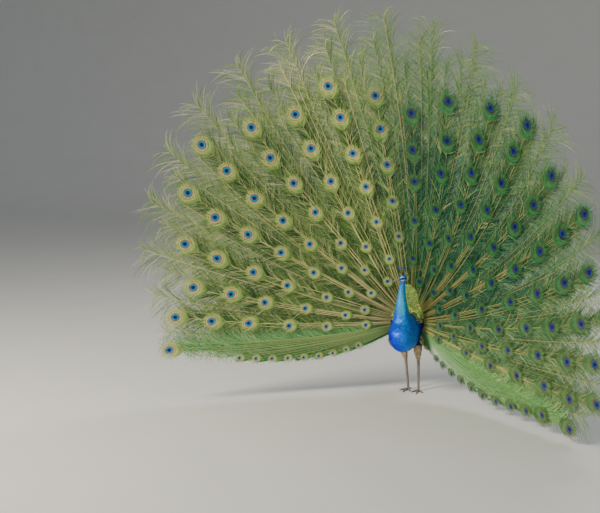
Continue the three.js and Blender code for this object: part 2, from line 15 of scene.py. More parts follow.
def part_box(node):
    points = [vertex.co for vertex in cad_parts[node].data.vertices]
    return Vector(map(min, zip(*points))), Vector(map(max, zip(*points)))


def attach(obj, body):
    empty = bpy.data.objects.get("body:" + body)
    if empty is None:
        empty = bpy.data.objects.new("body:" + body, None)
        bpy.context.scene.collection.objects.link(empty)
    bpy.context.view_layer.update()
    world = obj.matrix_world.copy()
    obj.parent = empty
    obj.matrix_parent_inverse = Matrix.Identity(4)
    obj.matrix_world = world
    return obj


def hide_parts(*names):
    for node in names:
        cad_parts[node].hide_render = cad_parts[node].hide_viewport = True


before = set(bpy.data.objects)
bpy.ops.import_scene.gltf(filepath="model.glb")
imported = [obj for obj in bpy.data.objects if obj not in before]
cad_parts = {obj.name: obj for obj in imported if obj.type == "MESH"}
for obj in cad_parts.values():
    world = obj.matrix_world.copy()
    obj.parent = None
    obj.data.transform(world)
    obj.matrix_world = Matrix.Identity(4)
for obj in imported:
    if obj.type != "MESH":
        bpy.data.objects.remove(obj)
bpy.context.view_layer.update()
rng = np.random.default_rng(11)
MM = 0.001

# %% [markdown]
# ## Where the bird stands
# The solids put the middle of the whole fan at the origin. Every length below is easier to read from
# the bird's own centre, the point on the floor under the root of the train. It could be typed in, but
# it is measured here from the trunk's solid, so that it follows the solids if they are packed again.

# %% The bird's own centre
TRUNK_MIDDLE_Y = -0.015
trunk_low, trunk_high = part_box("trunk")
BIRD = np.array(
    [
        (trunk_low[0] + trunk_high[0]) / 2,
        (trunk_low[1] + trunk_high[1]) / 2 - TRUNK_MIDDLE_Y,
        0.0,
    ]
)
print("the bird's own centre is at", BIRD.round(4))

# %% [markdown]
# ## Small tools
# Colours are written as the hex codes a painter would pick, and one function turns them to linear
# light. One function adds any node: it takes the sockets that are live for the node's settings, in
# their order or by name, and gives each a value, a colour or a link.


# %% Colour
def linear(hex_code):
    """A linear RGBA colour from an sRGB hex code."""
    channels = [int(hex_code[i : i + 2], 16) / 255 for i in (1, 3, 5)]
    return [c / 12.92 if c <= 0.04045 else ((c + 0.055) / 1.055) ** 2.4 for c in channels] + [1.0]


print("a painter's mid grey is", round(linear("#808080")[0], 3), "in linear light")


# %% One node
def output_of(source):
    """The first live output of a node, or the output itself."""
    if isinstance(source, bpy.types.Node):
        return next(socket for socket in source.outputs if socket.enabled)
    return source


def add_node(tree, kind, inputs=(), stops=(), **settings):
    """A node with its settings, its inputs and, for a ramp, its stops."""
    made = tree.nodes.new(kind)
    for key, value in settings.items():
        setattr(made, key, value)
    live = [socket for socket in made.inputs if socket.enabled]
    if isinstance(inputs, dict):
        live = [next(socket for socket in live if socket.name == key) for key in inputs]
        inputs = inputs.values()
    for socket, value in zip(live, inputs):
        value = output_of(value)
        if isinstance(value, bpy.types.NodeSocket):
            tree.links.new(value, socket)
        else:
            socket.default_value = linear(value) if isinstance(value, str) else value
    for number, (place, colour) in enumerate(stops):
        elements = made.color_ramp.elements
        element = elements[number] if number < len(elements) else elements.new(place)
        element.position = place
        element.color = linear(colour)
    return made


def link(tree, source, made, name):
    tree.links.new(output_of(source), made.inputs[name])


# %% Kinds and settings of the nodes that are used most
MATH, MIX, RAMP, BUMP = "ShaderNodeMath", "ShaderNodeMix", "ShaderNodeValToRGB", "ShaderNodeBump"
ATTRIBUTE, COORDINATES, NOISE = "ShaderNodeAttribute", "ShaderNodeTexCoord", "ShaderNodeTexNoise"
PARTS, JOINED = "ShaderNodeSeparateXYZ", "ShaderNodeCombineXYZ"
ADD = {"operation": "ADD"}
TAKE = {"operation": "SUBTRACT"}
TAKE_CLAMPED = {"operation": "SUBTRACT", "use_clamp": True}
TIMES = {"operation": "MULTIPLY"}
TIMES_CLAMPED = {"operation": "MULTIPLY", "use_clamp": True}
OVER = {"operation": "DIVIDE"}
MORE_THAN = {"operation": "GREATER_THAN"}
LESS_THAN = {"operation": "LESS_THAN"}
SIZE_OF = {"operation": "ABSOLUTE"}
COLOURS = {"data_type": "RGBA"}
print("nodes that are used most:", MATH, MIX, RAMP, BUMP, ATTRIBUTE, COORDINATES, NOISE, PARTS, JOINED)


# %% One surface
def surface(name, roughness, metallic=0.0, **more):
    """A material, its tree and its shader. More holds the values of further sockets."""
    material = bpy.data.materials.new(name)
    material.use_nodes = True
    tree = material.node_tree
    shader = tree.nodes["Principled BSDF"]
    values = {"Roughness": roughness, "Metallic": metallic}
    values.update({key.replace("_", " "): value for key, value in more.items()})
    for key, value in values.items():
        shader.inputs[key].default_value = value
    return material, tree, shader


def mottled(name, roughness, patch, tones, detail=2.0):
    """A finish whose tone wanders between two colours, in patches of a size in metres."""
    material, tree, shader = surface(name, roughness)
    place = add_node(tree, COORDINATES).outputs["Object"]
    noise = add_node(tree, NOISE, {"Vector": place, "Scale": 1 / patch, "Detail": detail})
    link(tree, add_node(tree, MIX, [noise, *tones], **COLOURS), shader, "Base Color")
    return material, tree, shader, noise


# %% A pile of small pieces
class Pile:
    """Triangles gathered from many small pieces, with their map and their attributes."""

    def __init__(self, *attributes):
        self.count = 0
        self.points, self.faces, self.maps, self.slots = [], [], [], []
        self.attributes = {name: [] for name in attributes}

    def add(self, points, faces, place, slot=0, **values):
        """Points, triangles, a place on the bake map and a vector for each attribute, for each point."""
        points = points.reshape(-1, 3)
        self.points.append(points)
        self.faces.append(faces.reshape(-1, 3) + self.count)
        self.maps.append(np.broadcast_to(place, (len(points), 2)))
        self.slots.append(np.full(faces.size // 3, slot))
        for name, gathered in self.attributes.items():
            gathered.append(np.broadcast_to(values.get(name, np.zeros(3)), (len(points), 3)))
        self.count += len(points)

    def build(self, name, materials, smooth=False, mapped=True):
        """The mesh object, moved from the bird's own centre to its place among the solids."""
        points = np.concatenate(self.points) + BIRD
        faces = np.concatenate(self.faces)
        mesh = bpy.data.meshes.new(name)
        mesh.vertices.add(len(points))
        mesh.vertices.foreach_set("co", points.astype(np.float32).ravel())
        mesh.loops.add(faces.size)
        mesh.loops.foreach_set("vertex_index", faces.astype(np.int32).ravel())
        mesh.polygons.add(len(faces))
        mesh.polygons.foreach_set("loop_start", np.arange(0, faces.size, 3, dtype=np.int32))
        mesh.polygons.foreach_set("material_index", np.concatenate(self.slots).astype(np.int32))
        mesh.polygons.foreach_set("use_smooth", np.full(len(faces), smooth))
        if mapped:
            corners = np.concatenate(self.maps)[faces.ravel()].astype(np.float32)
            mesh.uv_layers.new(name="OFBake").data.foreach_set("uv", corners.ravel())
        for key, values in self.attributes.items():
            layer = mesh.attributes.new(key, "FLOAT_VECTOR", "POINT")
            layer.data.foreach_set("vector", np.concatenate(values).astype(np.float32).ravel())
        mesh.update(calc_edges=True)
        mesh.validate()
        made = bpy.data.objects.new(name, mesh)
        for material in materials:
            mesh.materials.append(material)
        bpy.context.scene.collection.objects.link(made)
        return made


# %% Dressing a piece
def dress(piece, slot, *nodes):
    """The piece rides on the bird and may stand for solids, which it hides. Its slot is not used."""
    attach(piece, "root")
    if nodes:
        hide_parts(*nodes)


# %% Both sides and small sums
SIDES = ((1, "left"), (-1, "right"))


def mix(a, b, t):
    return a + (b - a) * t


def smooth_step(low, high, value):
    t = np.clip((value - low) / (high - low), 0, 1)
    return t * t * (3 - 2 * t)


def unit(vectors):
    return vectors / np.maximum(np.linalg.norm(vectors, axis=-1, keepdims=True), 1e-12)


print("a smooth step is", smooth_step(0, 1, 0.25), "a quarter of the way")

# %% [markdown]
# ## Camera, floor and light
# The camera stands in front of the bird and well to its left, at a standing person's height, and
# looks a little down. The floor runs up into a wall far behind through a wide curve, as in a
# studio: a plain plane would end in a hard horizon. A large soft lamp on the upper left is the key, so
# that side of the fan is the bright one. A weak fill and a lamp behind open the rest.

# %% Camera
CAMERA_PLACE = np.array([1.4855, -5.0093, 1.35])
CAMERA_DOWN = 0.1236
CAMERA_LOOK = Vector(
    (-0.3894 * math.cos(CAMERA_DOWN), 0.9211 * math.cos(CAMERA_DOWN), -math.sin(CAMERA_DOWN))
)
camera_data = bpy.data.cameras.new("camera")
camera_data.sensor_width = 36.0
camera_data.lens = 60.0
camera = bpy.data.objects.new("camera", camera_data)
camera.location = Vector(CAMERA_PLACE + BIRD)
camera.rotation_euler = CAMERA_LOOK.to_track_quat("-Z", "Y").to_euler()
bpy.context.scene.collection.objects.link(camera)
bpy.context.scene.camera = camera
print("the camera stands", round(float(np.linalg.norm(CAMERA_PLACE[:2])), 2), "m from the bird")

# %% Floor and wall
ROOM = 24.0
WALL = 13.0
CORNER = 4.0
bend = np.linspace(0, math.pi / 2, 13)[1:]
room_profile = [(-ROOM, 0.0), (WALL - CORNER, 0.0)]
room_profile += [(WALL - CORNER + CORNER * math.sin(a), CORNER - CORNER * math.cos(a)) for a in bend]
room_profile += [(WALL, ROOM)]
room_mesh = bpy.data.meshes.new("studio")
room_mesh.from_pydata(
    [(x, y, z) for y, z in room_profile for x in (-ROOM, ROOM)],
    [],
    [(2 * k, 2 * k + 1, 2 * k + 3, 2 * k + 2) for k in range(len(room_profile) - 1)],
)
room_mesh.shade_smooth()
room = bpy.data.objects.new("studio", room_mesh)
bpy.context.scene.collection.objects.link(room)
print("the wall stands", WALL, "m behind the bird")

# %% Plaster for the room
# Matt pale plaster, brushed on: no gloss, and clouds of tone as wide as a brush's sweep, 300 mm.
CLOUD = 300 * MM
room_material, *_ = mottled("pale_plaster", 0.9, CLOUD, ("#cfcfca", "#d6d6d2"), 3.0)
room_mesh.materials.append(room_material)
print("the clouds of", room_material.name, "are", CLOUD, "m wide")


# %% Lamps
def lamp(name, place, aim, size, power, colour):
    data = bpy.data.lights.new(name, "AREA")
    data.size = size
    data.energy = power
    data.color = linear(colour)[:3]
    made = bpy.data.objects.new(name, data)
    made.location = Vector(place) + Vector(BIRD)
    made.rotation_euler = (Vector(aim) - Vector(place)).to_track_quat("-Z", "Y").to_euler()
    bpy.context.scene.collection.objects.link(made)


lamp("key", (-2.8, -3.6, 3.4), (-0.1, 0, 0.8), 1.2, 320, "#fff4e2")
lamp("fill", (4.0, -4.5, 2.0), (0.2, 0, 0.7), 3.0, 60, "#e8f0ff")
lamp("back", (1.5, 3.2, 3.6), (0, 0, 0.8), 2.0, 90, "#ffffff")
world = bpy.data.worlds.new("studio_light")
world.use_nodes = True
sky = world.node_tree.nodes["Background"]
sky.inputs["Color"].default_value = linear("#dfe4ea")
sky.inputs["Strength"].default_value = 0.4
bpy.context.scene.world = world

# %% [markdown]
# ## The dish of the train
# The long feathers rise from one root on the back and spread into a shallow dish. Each could be posed
# by hand, but three hundred must agree, so one rule makes the dish: a point is given by its angle from
# straight up, toward the bird's left, and its distance from the root. The side feathers come forward,
# stand nearer and bend up at their tips, as the real fan does.

# %% The rule of the dish
ROOT_HEIGHT = 0.36
RAYS = 21
RAY_SPACING = math.radians(9.77)
ROLL = math.radians(6.5)
TILT = math.radians(7.4)
LEAN = 0.0844
ARCH = 0.1207
SIDE_SWEEP = 0.5583
SIDE_SHORTENING = 0.2217
UPWARD_CURL = 0.1767
CURL_FROM = 0.8


def train_point(angle, length):
    """Points of the dish, for arrays of angles and distances."""
    reach = length * (1 - SIDE_SHORTENING * (1 - np.cos(angle)))
    bearing = angle - UPWARD_CURL * (reach - CURL_FROM) * np.sin(angle)
    up = reach * np.cos(bearing)
    forward = reach * (LEAN + ARCH * reach + SIDE_SWEEP * np.sin(angle) ** 2)
    c, s = math.cos(TILT), math.sin(TILT)
    return np.stack(
        [reach * np.sin(bearing), -forward * c - up * s, ROOT_HEIGHT + up * c - forward * s], axis=-1
    )


print("the tip of the middle ray is at", train_point(np.array(0.0), np.array(1.6)).round(3))

# %% Rays and rows
# The eyes stand on rays from the root and in rows across them, which crowd a little outward.
LAST_RAY = RAYS // 2
FIRST_EYE = 0.3684
EYE_STEP = 0.2141
STEP_LOSS = 0.0055


def eye_place(k):
    """How far the eye of row k is from the root."""
    return FIRST_EYE + k * EYE_STEP - STEP_LOSS * k * k


def ray_angle(i):
    return ROLL + i * RAY_SPACING


print("eyes of one ray stand at", [round(eye_place(k), 2) for k in range(6)])


# %% A feather's own directions
class Quill:
    """The centre line of one feather on the dish, with its own directions along its length."""

    def __init__(self, angle, length, wander=0.0, offset=0.0, settle=None):
        settle = settle or length
        self.table = np.linspace(0.02, length + 0.2, 70)
        angles = angle + wander * np.clip(1 - self.table / settle, -0.3, 1)
        step = 0.01
        line = train_point(angles, self.table)
        across = unit(train_point(angles + step, self.table) - train_point(angles - step, self.table))
        along = unit(np.gradient(line, axis=0))
        across = unit(across - along * (across * along).sum(-1, keepdims=True))
        face = unit(np.cross(across, along))
        rise = smooth_step(0.02, 0.3, self.table)[:, None]
        self.line = line + face * offset * rise
        self.across, self.along, self.face = across, along, face

    def at(self, table, s):
        flat = s.ravel()
        found = [np.interp(flat, self.table, table[:, i]) for i in range(3)]
        return np.stack(found, axis=-1).reshape(*s.shape, 3)

    def place(self, x, s, z):
        """World points from the distance across, along and out of the feather's face."""
        middle = self.at(self.line, s)
        return middle + self.at(self.across, s) * x[..., None] + self.at(self.face, s) * z[..., None]


print("a quill of 1.2 m ends at", Quill(0.0, 1.2).place(*np.array([[0.0], [1.2], [0.0]]))[0].round(3))

# %% [markdown]
# ## Ribbons and tubes
# A barb is a fine strand. A hair curve would show well but leaves no mesh in the export, so each barb is
# a flat ribbon of a few triangles that ends in a point, turned a little about its own length. A
# quill is a slim four-sided tube.


# %% Ribbons
def ribbons(quill, x, s, z, width, twist):
    """Pointed ribbons along rows of local points. Width and twist are for each ribbon and point."""
    dx, ds = np.gradient(x, axis=1), np.gradient(s, axis=1)
    size = np.maximum(np.hypot(dx, ds), 1e-9)
    flat = quill.at(quill.across, s) * (-ds / size)[..., None]
    flat += quill.at(quill.along, s) * (dx / size)[..., None]
    side = flat * np.cos(twist)[..., None] + quill.at(quill.face, s) * np.sin(twist)[..., None]
    middle = quill.place(x, s, z)
    side = side * (width / 2)[..., None]
    count, last = x.shape[0], x.shape[1] - 1
    pairs = np.stack([middle[:, :last] + side[:, :last], middle[:, :last] - side[:, :last]], axis=2)
    points = np.concatenate([pairs.reshape(count, 2 * last, 3), middle[:, last:]], axis=1)
    rows = []
    for k in range(last - 1):
        a = 2 * k
        rows += [[a, a + 1, a + 3], [a, a + 3, a + 2]]
    rows.append([2 * last - 2, 2 * last - 1, 2 * last])
    faces = np.array(rows)[None] + (np.arange(count) * (2 * last + 1))[:, None, None]
    spread = lambda v: np.concatenate([np.repeat(v[:, :last], 2, axis=1), v[:, last:]], axis=1)
    return points, faces, spread


# %% Tubes
def quill_tube(quill, start, end, root_radius, tip_radius, rows=22):
    """A four-sided tapering quill."""
    s = np.linspace(start, end, rows)[:, None].repeat(4, axis=1)
    radius = np.interp(s, [start, end], [root_radius, tip_radius])
    turn = np.arange(4) * math.pi / 2
    points = quill.place(radius * np.cos(turn), s, radius * np.sin(turn) - radius)
    rows_index = np.arange(rows - 1)[:, None, None] * 4
    i, j = np.arange(4), (np.arange(4) + 1) % 4
    quad = np.stack([np.stack([i, j, j + 4], -1), np.stack([i, j + 4, i + 4], -1)], 1).reshape(-1, 3)
    return points, quad[None] + rows_index, s


# %% [markdown]
# ## The colours of the train
# An eye is a navy heart in a turquoise disc, in a pale gold ring and thin green rings. Round it the
# barbs are yellow-green, and lower down they turn to loose bronze and olive. In life the
# colour comes from interference in fine plates of the barb. A picture of a feather could be laid on each
# vane, but a rule needs no picture: the colour follows the distance from the eye. Light and shade are
# painted in as well: the half of the fan that is turned to the light is painted lit, in gold, and the
# other half in painted shade, deep emerald, so an attribute holds how much painted shade each feather has.

# %% Barbs: where a point lies in the eye
# The keratin of a barb is satin, and the plates in it give a metallic sheen, so it is slightly metallic.
EYE_RADIUS = 0.042
barb_material, tree, barb_shader = surface("iridescent_barb", 0.45, 0.2)
vane = add_node(tree, ATTRIBUTE, attribute_name="vane").outputs["Vector"]
across, from_eye, chance = add_node(tree, PARTS, [vane]).outputs
plume = add_node(tree, ATTRIBUTE, attribute_name="plume").outputs["Vector"]
eye_size, shade, far = add_node(tree, PARTS, [plume]).outputs
scale = add_node(tree, MATH, [eye_size, EYE_RADIUS], **TIMES)
scale = add_node(tree, MATH, [scale, 0.5 * MM], operation="MAXIMUM")
level = add_node(tree, JOINED, [across, from_eye, 0.0])
from_middle = add_node(tree, "ShaderNodeVectorMath", [level], operation="LENGTH").outputs["Value"]
ring_place = add_node(tree, MATH, [from_middle, scale], **OVER)
ring_half = add_node(tree, MATH, [ring_place, 0.5], **TIMES_CLAMPED)
print("the rings of a full eye reach", 2 * EYE_RADIUS, "m from its middle")

# %% Barbs: the rings of the eye
LIT_RINGS = [
    (0.00, "#0d1466"),
    (0.095, "#12249a"),
    (0.125, "#0f8fd6"),
    (0.185, "#27c4cf"),
    (0.21, "#8a7a4c"),
    (0.255, "#d0a468"),
    (0.32, "#fff0bc"),
    (0.36, "#9cb050"),
    (0.41, "#dce48e"),
    (0.55, "#b0cc62"),
    (0.80, "#6f9a38"),
]
# The shaded rings are the same eye in painted shade: a larger, darker navy core in darker green rings.
SHADED_RINGS = [
    (0.00, "#060a3c"),
    (0.14, "#0a1672"),
    (0.20, "#0d4a8a"),
    (0.235, "#142a1c"),
    (0.30, "#33401e"),
    (0.35, "#1f6a38"),
    (0.48, "#1c7a46"),
    (0.75, "#1c5a34"),
]
lit_rings = add_node(tree, RAMP, [ring_half], LIT_RINGS)
shaded_rings = add_node(tree, RAMP, [ring_half], SHADED_RINGS)
rings = add_node(tree, MIX, [shade, lit_rings, shaded_rings], **COLOURS)
print("an eye has", len(LIT_RINGS), "rings of colour")

# %% Barbs: the loose ones
# Each lock of barbs has its own chance, from dark green in the shade to straw where it catches light.
LIT_BARBS = [(0.0, "#12290e"), (0.3, "#356428"), (0.56, "#7ca64a"), (0.8, "#c4d082"), (1.0, "#fff2c0")]
# The shaded tones are the same loose barbs in painted shade, for the half of the fan away from the light.
SHADED_BARBS = [(0.0, "#032420"), (0.4, "#0a5040"), (0.68, "#2a8460"), (0.88, "#86aa62"), (1.0, "#f6e08c")]
lit_barbs = add_node(tree, RAMP, [chance], LIT_BARBS)
shaded_barbs = add_node(tree, RAMP, [chance], SHADED_BARBS)
# Far from the root the painted shade lifts to a lighter green, a painted light through the thin outer
# barbs.
outer = add_node(tree, MATH, [far, 0.85], **TAKE_CLAMPED)
outer = add_node(tree, MATH, [outer, 1.1], **TIMES_CLAMPED)
shaded_barbs = add_node(tree, MIX, [outer, shaded_barbs, "#6f8c42"], **COLOURS)
barbs = add_node(tree, MIX, [shade, lit_barbs, shaded_barbs], **COLOURS)
near_root = add_node(tree, MATH, [far, 1.3], **TIMES)
near_root = add_node(tree, MATH, [0.8, near_root], **TAKE_CLAMPED)
barbs = add_node(tree, MIX, [near_root, barbs, "#1c4428"], **COLOURS)
print("loose barbs have", len(LIT_BARBS), "tones in the light and", len(SHADED_BARBS), "in the shade")

# %% Barbs: rings, loose barbs and the emerald edge together
EMERALD = [(0.0, "#127040"), (0.5, "#58b060"), (1.0, "#d8f0a4")]
outside = add_node(
    tree,
    "ShaderNodeMapRange",
    {"Value": ring_place, "From Min": 1.0, "From Max": 1.9},
    interpolation_type="SMOOTHSTEP",
)
plain = add_node(tree, MIX, [outside, rings, barbs], **COLOURS)
edge_barb = add_node(tree, MATH, [eye_size, -0.5], **LESS_THAN)
emerald = add_node(tree, RAMP, [chance], EMERALD)
barb_colour = add_node(tree, MIX, [edge_barb, plain, emerald], **COLOURS)
link(tree, barb_colour, barb_shader, "Base Color")
print(barb_material.name, "has", len(tree.nodes), "nodes")

# %% Quills
# A quill is bare horn, smooth and glossy. It is painted straw gold on the lit half of the fan and a duller
# gold in painted shade on the other, browner at its root and green on some feathers, which an attribute
# says for each.
shaft_material, tree, shader = surface("pale_quill", 0.35)
plume = add_node(tree, ATTRIBUTE, attribute_name="plume").outputs["Vector"]
green, shade, far = add_node(tree, PARTS, [plume]).outputs
tone = add_node(tree, MIX, [shade, "#ffeca8", "#b8a460"], **COLOURS)
bare = add_node(tree, MATH, [far, 2.0], **TIMES)
bare = add_node(tree, MATH, [0.8, bare], **TAKE_CLAMPED)
tone = add_node(tree, MIX, [bare, tone, "#8c7a42"], **COLOURS)
tone = add_node(tree, MIX, [green, tone, "#4c9248"], **COLOURS)
link(tree, tone, shader, "Base Color")
print(shaft_material.name, "has", len(tree.nodes), "nodes")

# %% [markdown]
# ## The feathers of the train
# An eyed feather has a pale quill, loose barbs along most of it, and a dense round vane at the end. The
# barbs of the vane leave the quill low and sweep up and out, so their tips draw an oval round the eye.
# One feather could be copied to every place, but then all would bend alike, so each is laid on the
# dish from its own random draws. Barbs cling together in locks, which share a chance and so a tone.

# %% Places on the bake map
# Every feather has its own strip of the map, beside the strips of its sector.
STRIP_HALF = 0.15
STRIP_LENGTH = 1.9


class Strip:
    """One feather's own strip of the bake map, among the strips of its sector."""

    def __init__(self, index, count):
        self.index, self.count = index, count

    def vane(self, x, s):
        u = (self.index + 0.48 + 0.46 * np.clip(x / STRIP_HALF, -1, 1)) / self.count
        return np.stack([u, np.clip(s / STRIP_LENGTH, 0, 1)], -1).reshape(-1, 2)

    def shaft(self, s):
        u = (self.index + 0.975 + 0.01 * (np.arange(s.shape[1]) % 2)) / self.count
        u = np.broadcast_to(u, s.shape)
        return np.stack([u, np.clip(s / STRIP_LENGTH, 0, 1)], -1).reshape(-1, 2)


print("a strip of the map holds", STRIP_LENGTH, "m of feather")

# %% Barbs on a quill
LOWEST = 0.005
LOCK_REACH = 0.011


def paler(chance, angle):
    """Barbs low on the bird's left catch the light, so more of them are pale there."""
    return chance ** (1 - 0.55 * float(smooth_step(0.85, 1.8, angle)))


def locks(base, side):
    """A chance for each barb that neighbours share, because barbs cling together in locks."""
    lock = 2 * np.floor(base.ravel() / LOCK_REACH) + (side.ravel() > 0)
    shared = rng.random(512)[lock.astype(int) % 512]
    return np.clip(0.74 * shared + 0.26 * rng.random(shared.size), 0, 1)


def lay_barbs(pile, quill, strip, curve, widths, twist, eye, eye_size, shade, chance):
    """Barbs on a quill. Widths run from root to tip. Those that would reach the floor bend along it."""
    x, s, z = curve
    t = np.linspace(0, 1, x.shape[1])
    width = np.interp(t, *widths) * np.ones_like(x)
    points, faces, spread = ribbons(quill, x, s, z, width, twist * np.ones_like(x))
    points[..., 2] = np.maximum(points[..., 2], LOWEST)
    sx, ss = spread(x), spread(s)
    vane = np.stack([sx, ss - eye, spread(np.broadcast_to(chance[:, None], x.shape))], -1)
    plume = np.stack([np.full_like(sx, eye_size), np.full_like(sx, shade), ss], -1)
    place = strip.vane(sx, ss)
    pile.add(points, faces, place, vane=vane.reshape(-1, 3), plume=plume.reshape(-1, 3))


def lay_quill(pile, quill, strip, start, end, root_radius, tip_radius, shade, green=0.0):
    points, faces, s = quill_tube(quill, start, end, root_radius, tip_radius)
    plume = np.stack([np.full_like(s, green), np.full_like(s, shade), s], -1).reshape(-1, 3)
    points[..., 2] = np.maximum(points[..., 2], LOWEST)
    pile.add(points, faces, strip.shaft(s), slot=1, plume=plume)


SHORT_SIDE = 0.3


def loose_barbs(count, low, high, length, opening, n=3, sides=(1.0, -1.0), short=0):
    """Local points of loose barbs between two distances from the root, maybe with a short side."""
    side = np.array(sides)[np.arange(count) % len(sides)][:, None]
    base = np.linspace(low, high, count)[:, None] + rng.normal(0, 0.003, (count, 1))
    t = np.linspace(0, 1, n + 1)[None]
    reach = length(base) * rng.uniform(0.7, 1.2, (count, 1)) * np.where(side == short, SHORT_SIDE, 1.0)
    start = opening + rng.normal(0, 0.12, (count, 1))
    bend = rng.normal(0.1, 0.2, (count, 1))
    direction = start + bend * t
    x = side * reach * t * np.sin(direction)
    s = base + reach * t * np.cos(direction)
    z = -0.006 - 0.006 * t + rng.normal(0, 0.004, (count, 1)) * t
    return x, s, z


print("barbs cling together along", LOCK_REACH, "m of a quill")

# %% The dense vane of an eye
EYE_BARBS = 62
OVAL_ACROSS = 0.043
OVAL_ALONG = 0.047


def eye_vane(size):
    """Local points of the vane's barbs, from u = 0 at the tip to u = 1 at the lower edge of the oval."""
    side = np.repeat([1.0, -1.0], EYE_BARBS)[:, None]
    u = np.tile(np.linspace(0, 1, EYE_BARBS), 2)[:, None]
    bearing = np.radians(4 + 128 * u)
    ragged = 0.92 + 0.5 * rng.random(u.shape) ** 2
    tip_x = OVAL_ACROSS * size * np.sin(bearing) * ragged
    tip_s = OVAL_ALONG * size * np.cos(bearing) * ragged
    base_s = size * (0.012 - 0.085 * u**1.1)
    bend_x = 0.62 * tip_x
    bend_s = base_s + 0.34 * (tip_s - base_s)
    t = np.linspace(0, 1, 5)[None]
    x = side * (2 * t * (1 - t) * bend_x + t * t * tip_x)
    s = (1 - t) ** 2 * base_s + 2 * t * (1 - t) * bend_s + t * t * tip_s
    z = 0.003 * size * np.sin(math.pi * t) + rng.normal(0, 0.002, u.shape) * t * t + 0.001
    return x, s, z


print("a vane has", 2 * EYE_BARBS, "barbs")


# %% An eyed feather
# Barbs whose eye size is the flag take the emerald of the fan's edge.
EMERALD_FLAG = -1.0


def eyed_feather(
    pile, strip, angle, eye, wander, offset, shade, size, spacing, green, short, flag
):
    """One feather whose eye is this far from the root: quill, vane, fringe and loose barbs."""
    quill = Quill(angle, eye + 0.06, wander, offset, settle=eye)
    start = 0.1 if eye > 0.3 else 0.05
    end = eye + 0.01 * size
    lay_quill(pile, quill, strip, start, end, 0.0012 + 0.0008 * eye, 0.001, shade, green)
    x, s, z = eye_vane(size)
    widths = ([0, 0.5, 0.75, 1], size * np.array([0.0018, 0.0023, 0.0017, 0.0008]))
    twist = rng.normal(0, 0.22, (len(x), 1))
    chance = rng.random(len(x))
    lay_barbs(pile, quill, strip, (x, s + eye, z), widths, twist, eye, size, shade, chance)

    low = max(0.1, 0.1 * eye)
    high = eye - 0.07 * size
    longest = 0.125 * (0.5 + 0.5 * size)
    fringe_length = lambda base: 0.085 * size
    loose_length = lambda base: longest * (0.55 + 0.45 * smooth_step(low, low + 0.35, base))
    fringe = loose_barbs(int(70 * size), eye - 0.14 * size, eye - 0.005, fringe_length, 0.42, short=short)
    fringe_widths = ([0, 0.6, 1], [0.0013, 0.0012, 0.0005])
    count = max(8, int(2 * (high - low) / spacing))
    loose = loose_barbs(count, low, high, loose_length, 0.45, short=short)
    loose_widths = ([0, 0.6, 1], [0.0015, 0.0014, 0.0006])
    for curve, widths, kind in ((fringe, fringe_widths, size), (loose, loose_widths, flag)):
        x, s, z = curve
        twist = rng.normal(0, 0.5, (len(x), 1))
        chance = paler(locks(s[:, 0], x[:, -1]), angle)
        lay_barbs(pile, quill, strip, curve, widths, twist, eye, kind, shade, chance)


# %% A fishtail feather
def fishtail_feather(
    pile, strip, angle, tip, wander, offset, shade, spacing=0.0042, green=0.0, flag=0.0, short=0
):
    """One feather with no eye. Its last barbs are long, wide apart and golden, and open into a fork."""
    quill = Quill(angle, tip, wander, offset)
    lay_quill(pile, quill, strip, 0.1, tip - 0.015, 0.0024, 0.0011, shade, green)
    fork = tip - min(0.42, 0.4 * tip)
    low = min(0.4, 0.4 * tip)
    count = int(2 * (fork - low) / spacing)
    x, s, z = loose_barbs(count, low, fork, lambda base: 0.1, 0.55, short=short)
    widths = ([0, 0.6, 1], [0.0016, 0.0014, 0.0006])
    twist = rng.normal(0, 0.5, (len(x), 1))
    chance = paler(locks(s[:, 0], x[:, -1]), angle)
    lay_barbs(pile, quill, strip, (x, s, z), widths, twist, tip, flag, shade, chance)

    count = int(2 * (tip - fork) / (1.15 * spacing))
    outward = 0 if angle > 0.25 else 1
    opening = np.where(np.arange(count) % 2 == outward, 0.8, 0.34)[:, None]
    growing = lambda base: mix(0.11, 0.15, smooth_step(fork, tip - 0.1, base))
    length = lambda base: growing(base) * mix(1, 0.45, smooth_step(tip - 0.09, tip, base))
    x, s, z = loose_barbs(count, fork, tip - 0.012, length, opening, n=5, short=short)
    t = np.linspace(0, 1, x.shape[1])[None]
    x = x * (1 + 0.2 * t)
    s = s - 0.025 * t**3 * smooth_step(fork, tip, s[:, :1])
    widths = ([0, 0.6, 1], [0.0017, 0.0016, 0.0007])
    twist = rng.normal(0, 0.4, (count, 1))
    chance = 0.35 + 0.65 * locks(s[:, 0], x[:, -1])
    lay_barbs(pile, quill, strip, (x, s, z), widths, twist, tip, flag, shade, chance)


# %% A sword feather
def sword_feather(pile, strip, angle, tip, outer, shade):
    """A stiff edge feather with a dense emerald vane, short on its outer side."""
    quill = Quill(angle, tip, outer * 0.03, 0.008)
    lay_quill(pile, quill, strip, 0.08, tip - 0.01, 0.002, 0.0008, shade, 1.0)
    count = int((tip - 0.13) / 0.0021)
    for side, longest in ((outer, 0.02), (-outer, 0.06)):
        length = lambda base: longest * (1 - 0.55 * smooth_step(tip - 0.25, tip, base))
        curve = loose_barbs(count, 0.12, tip - 0.01, length, 0.42, sides=(side,))
        widths = ([0, 0.6, 1], [0.0022, 0.002, 0.0008])
        twist = rng.normal(0, 0.25, (count, 1))
        chance = 0.45 * rng.random(count)
        lay_barbs(pile, quill, strip, curve, widths, twist, tip, EMERALD_FLAG, shade, chance)
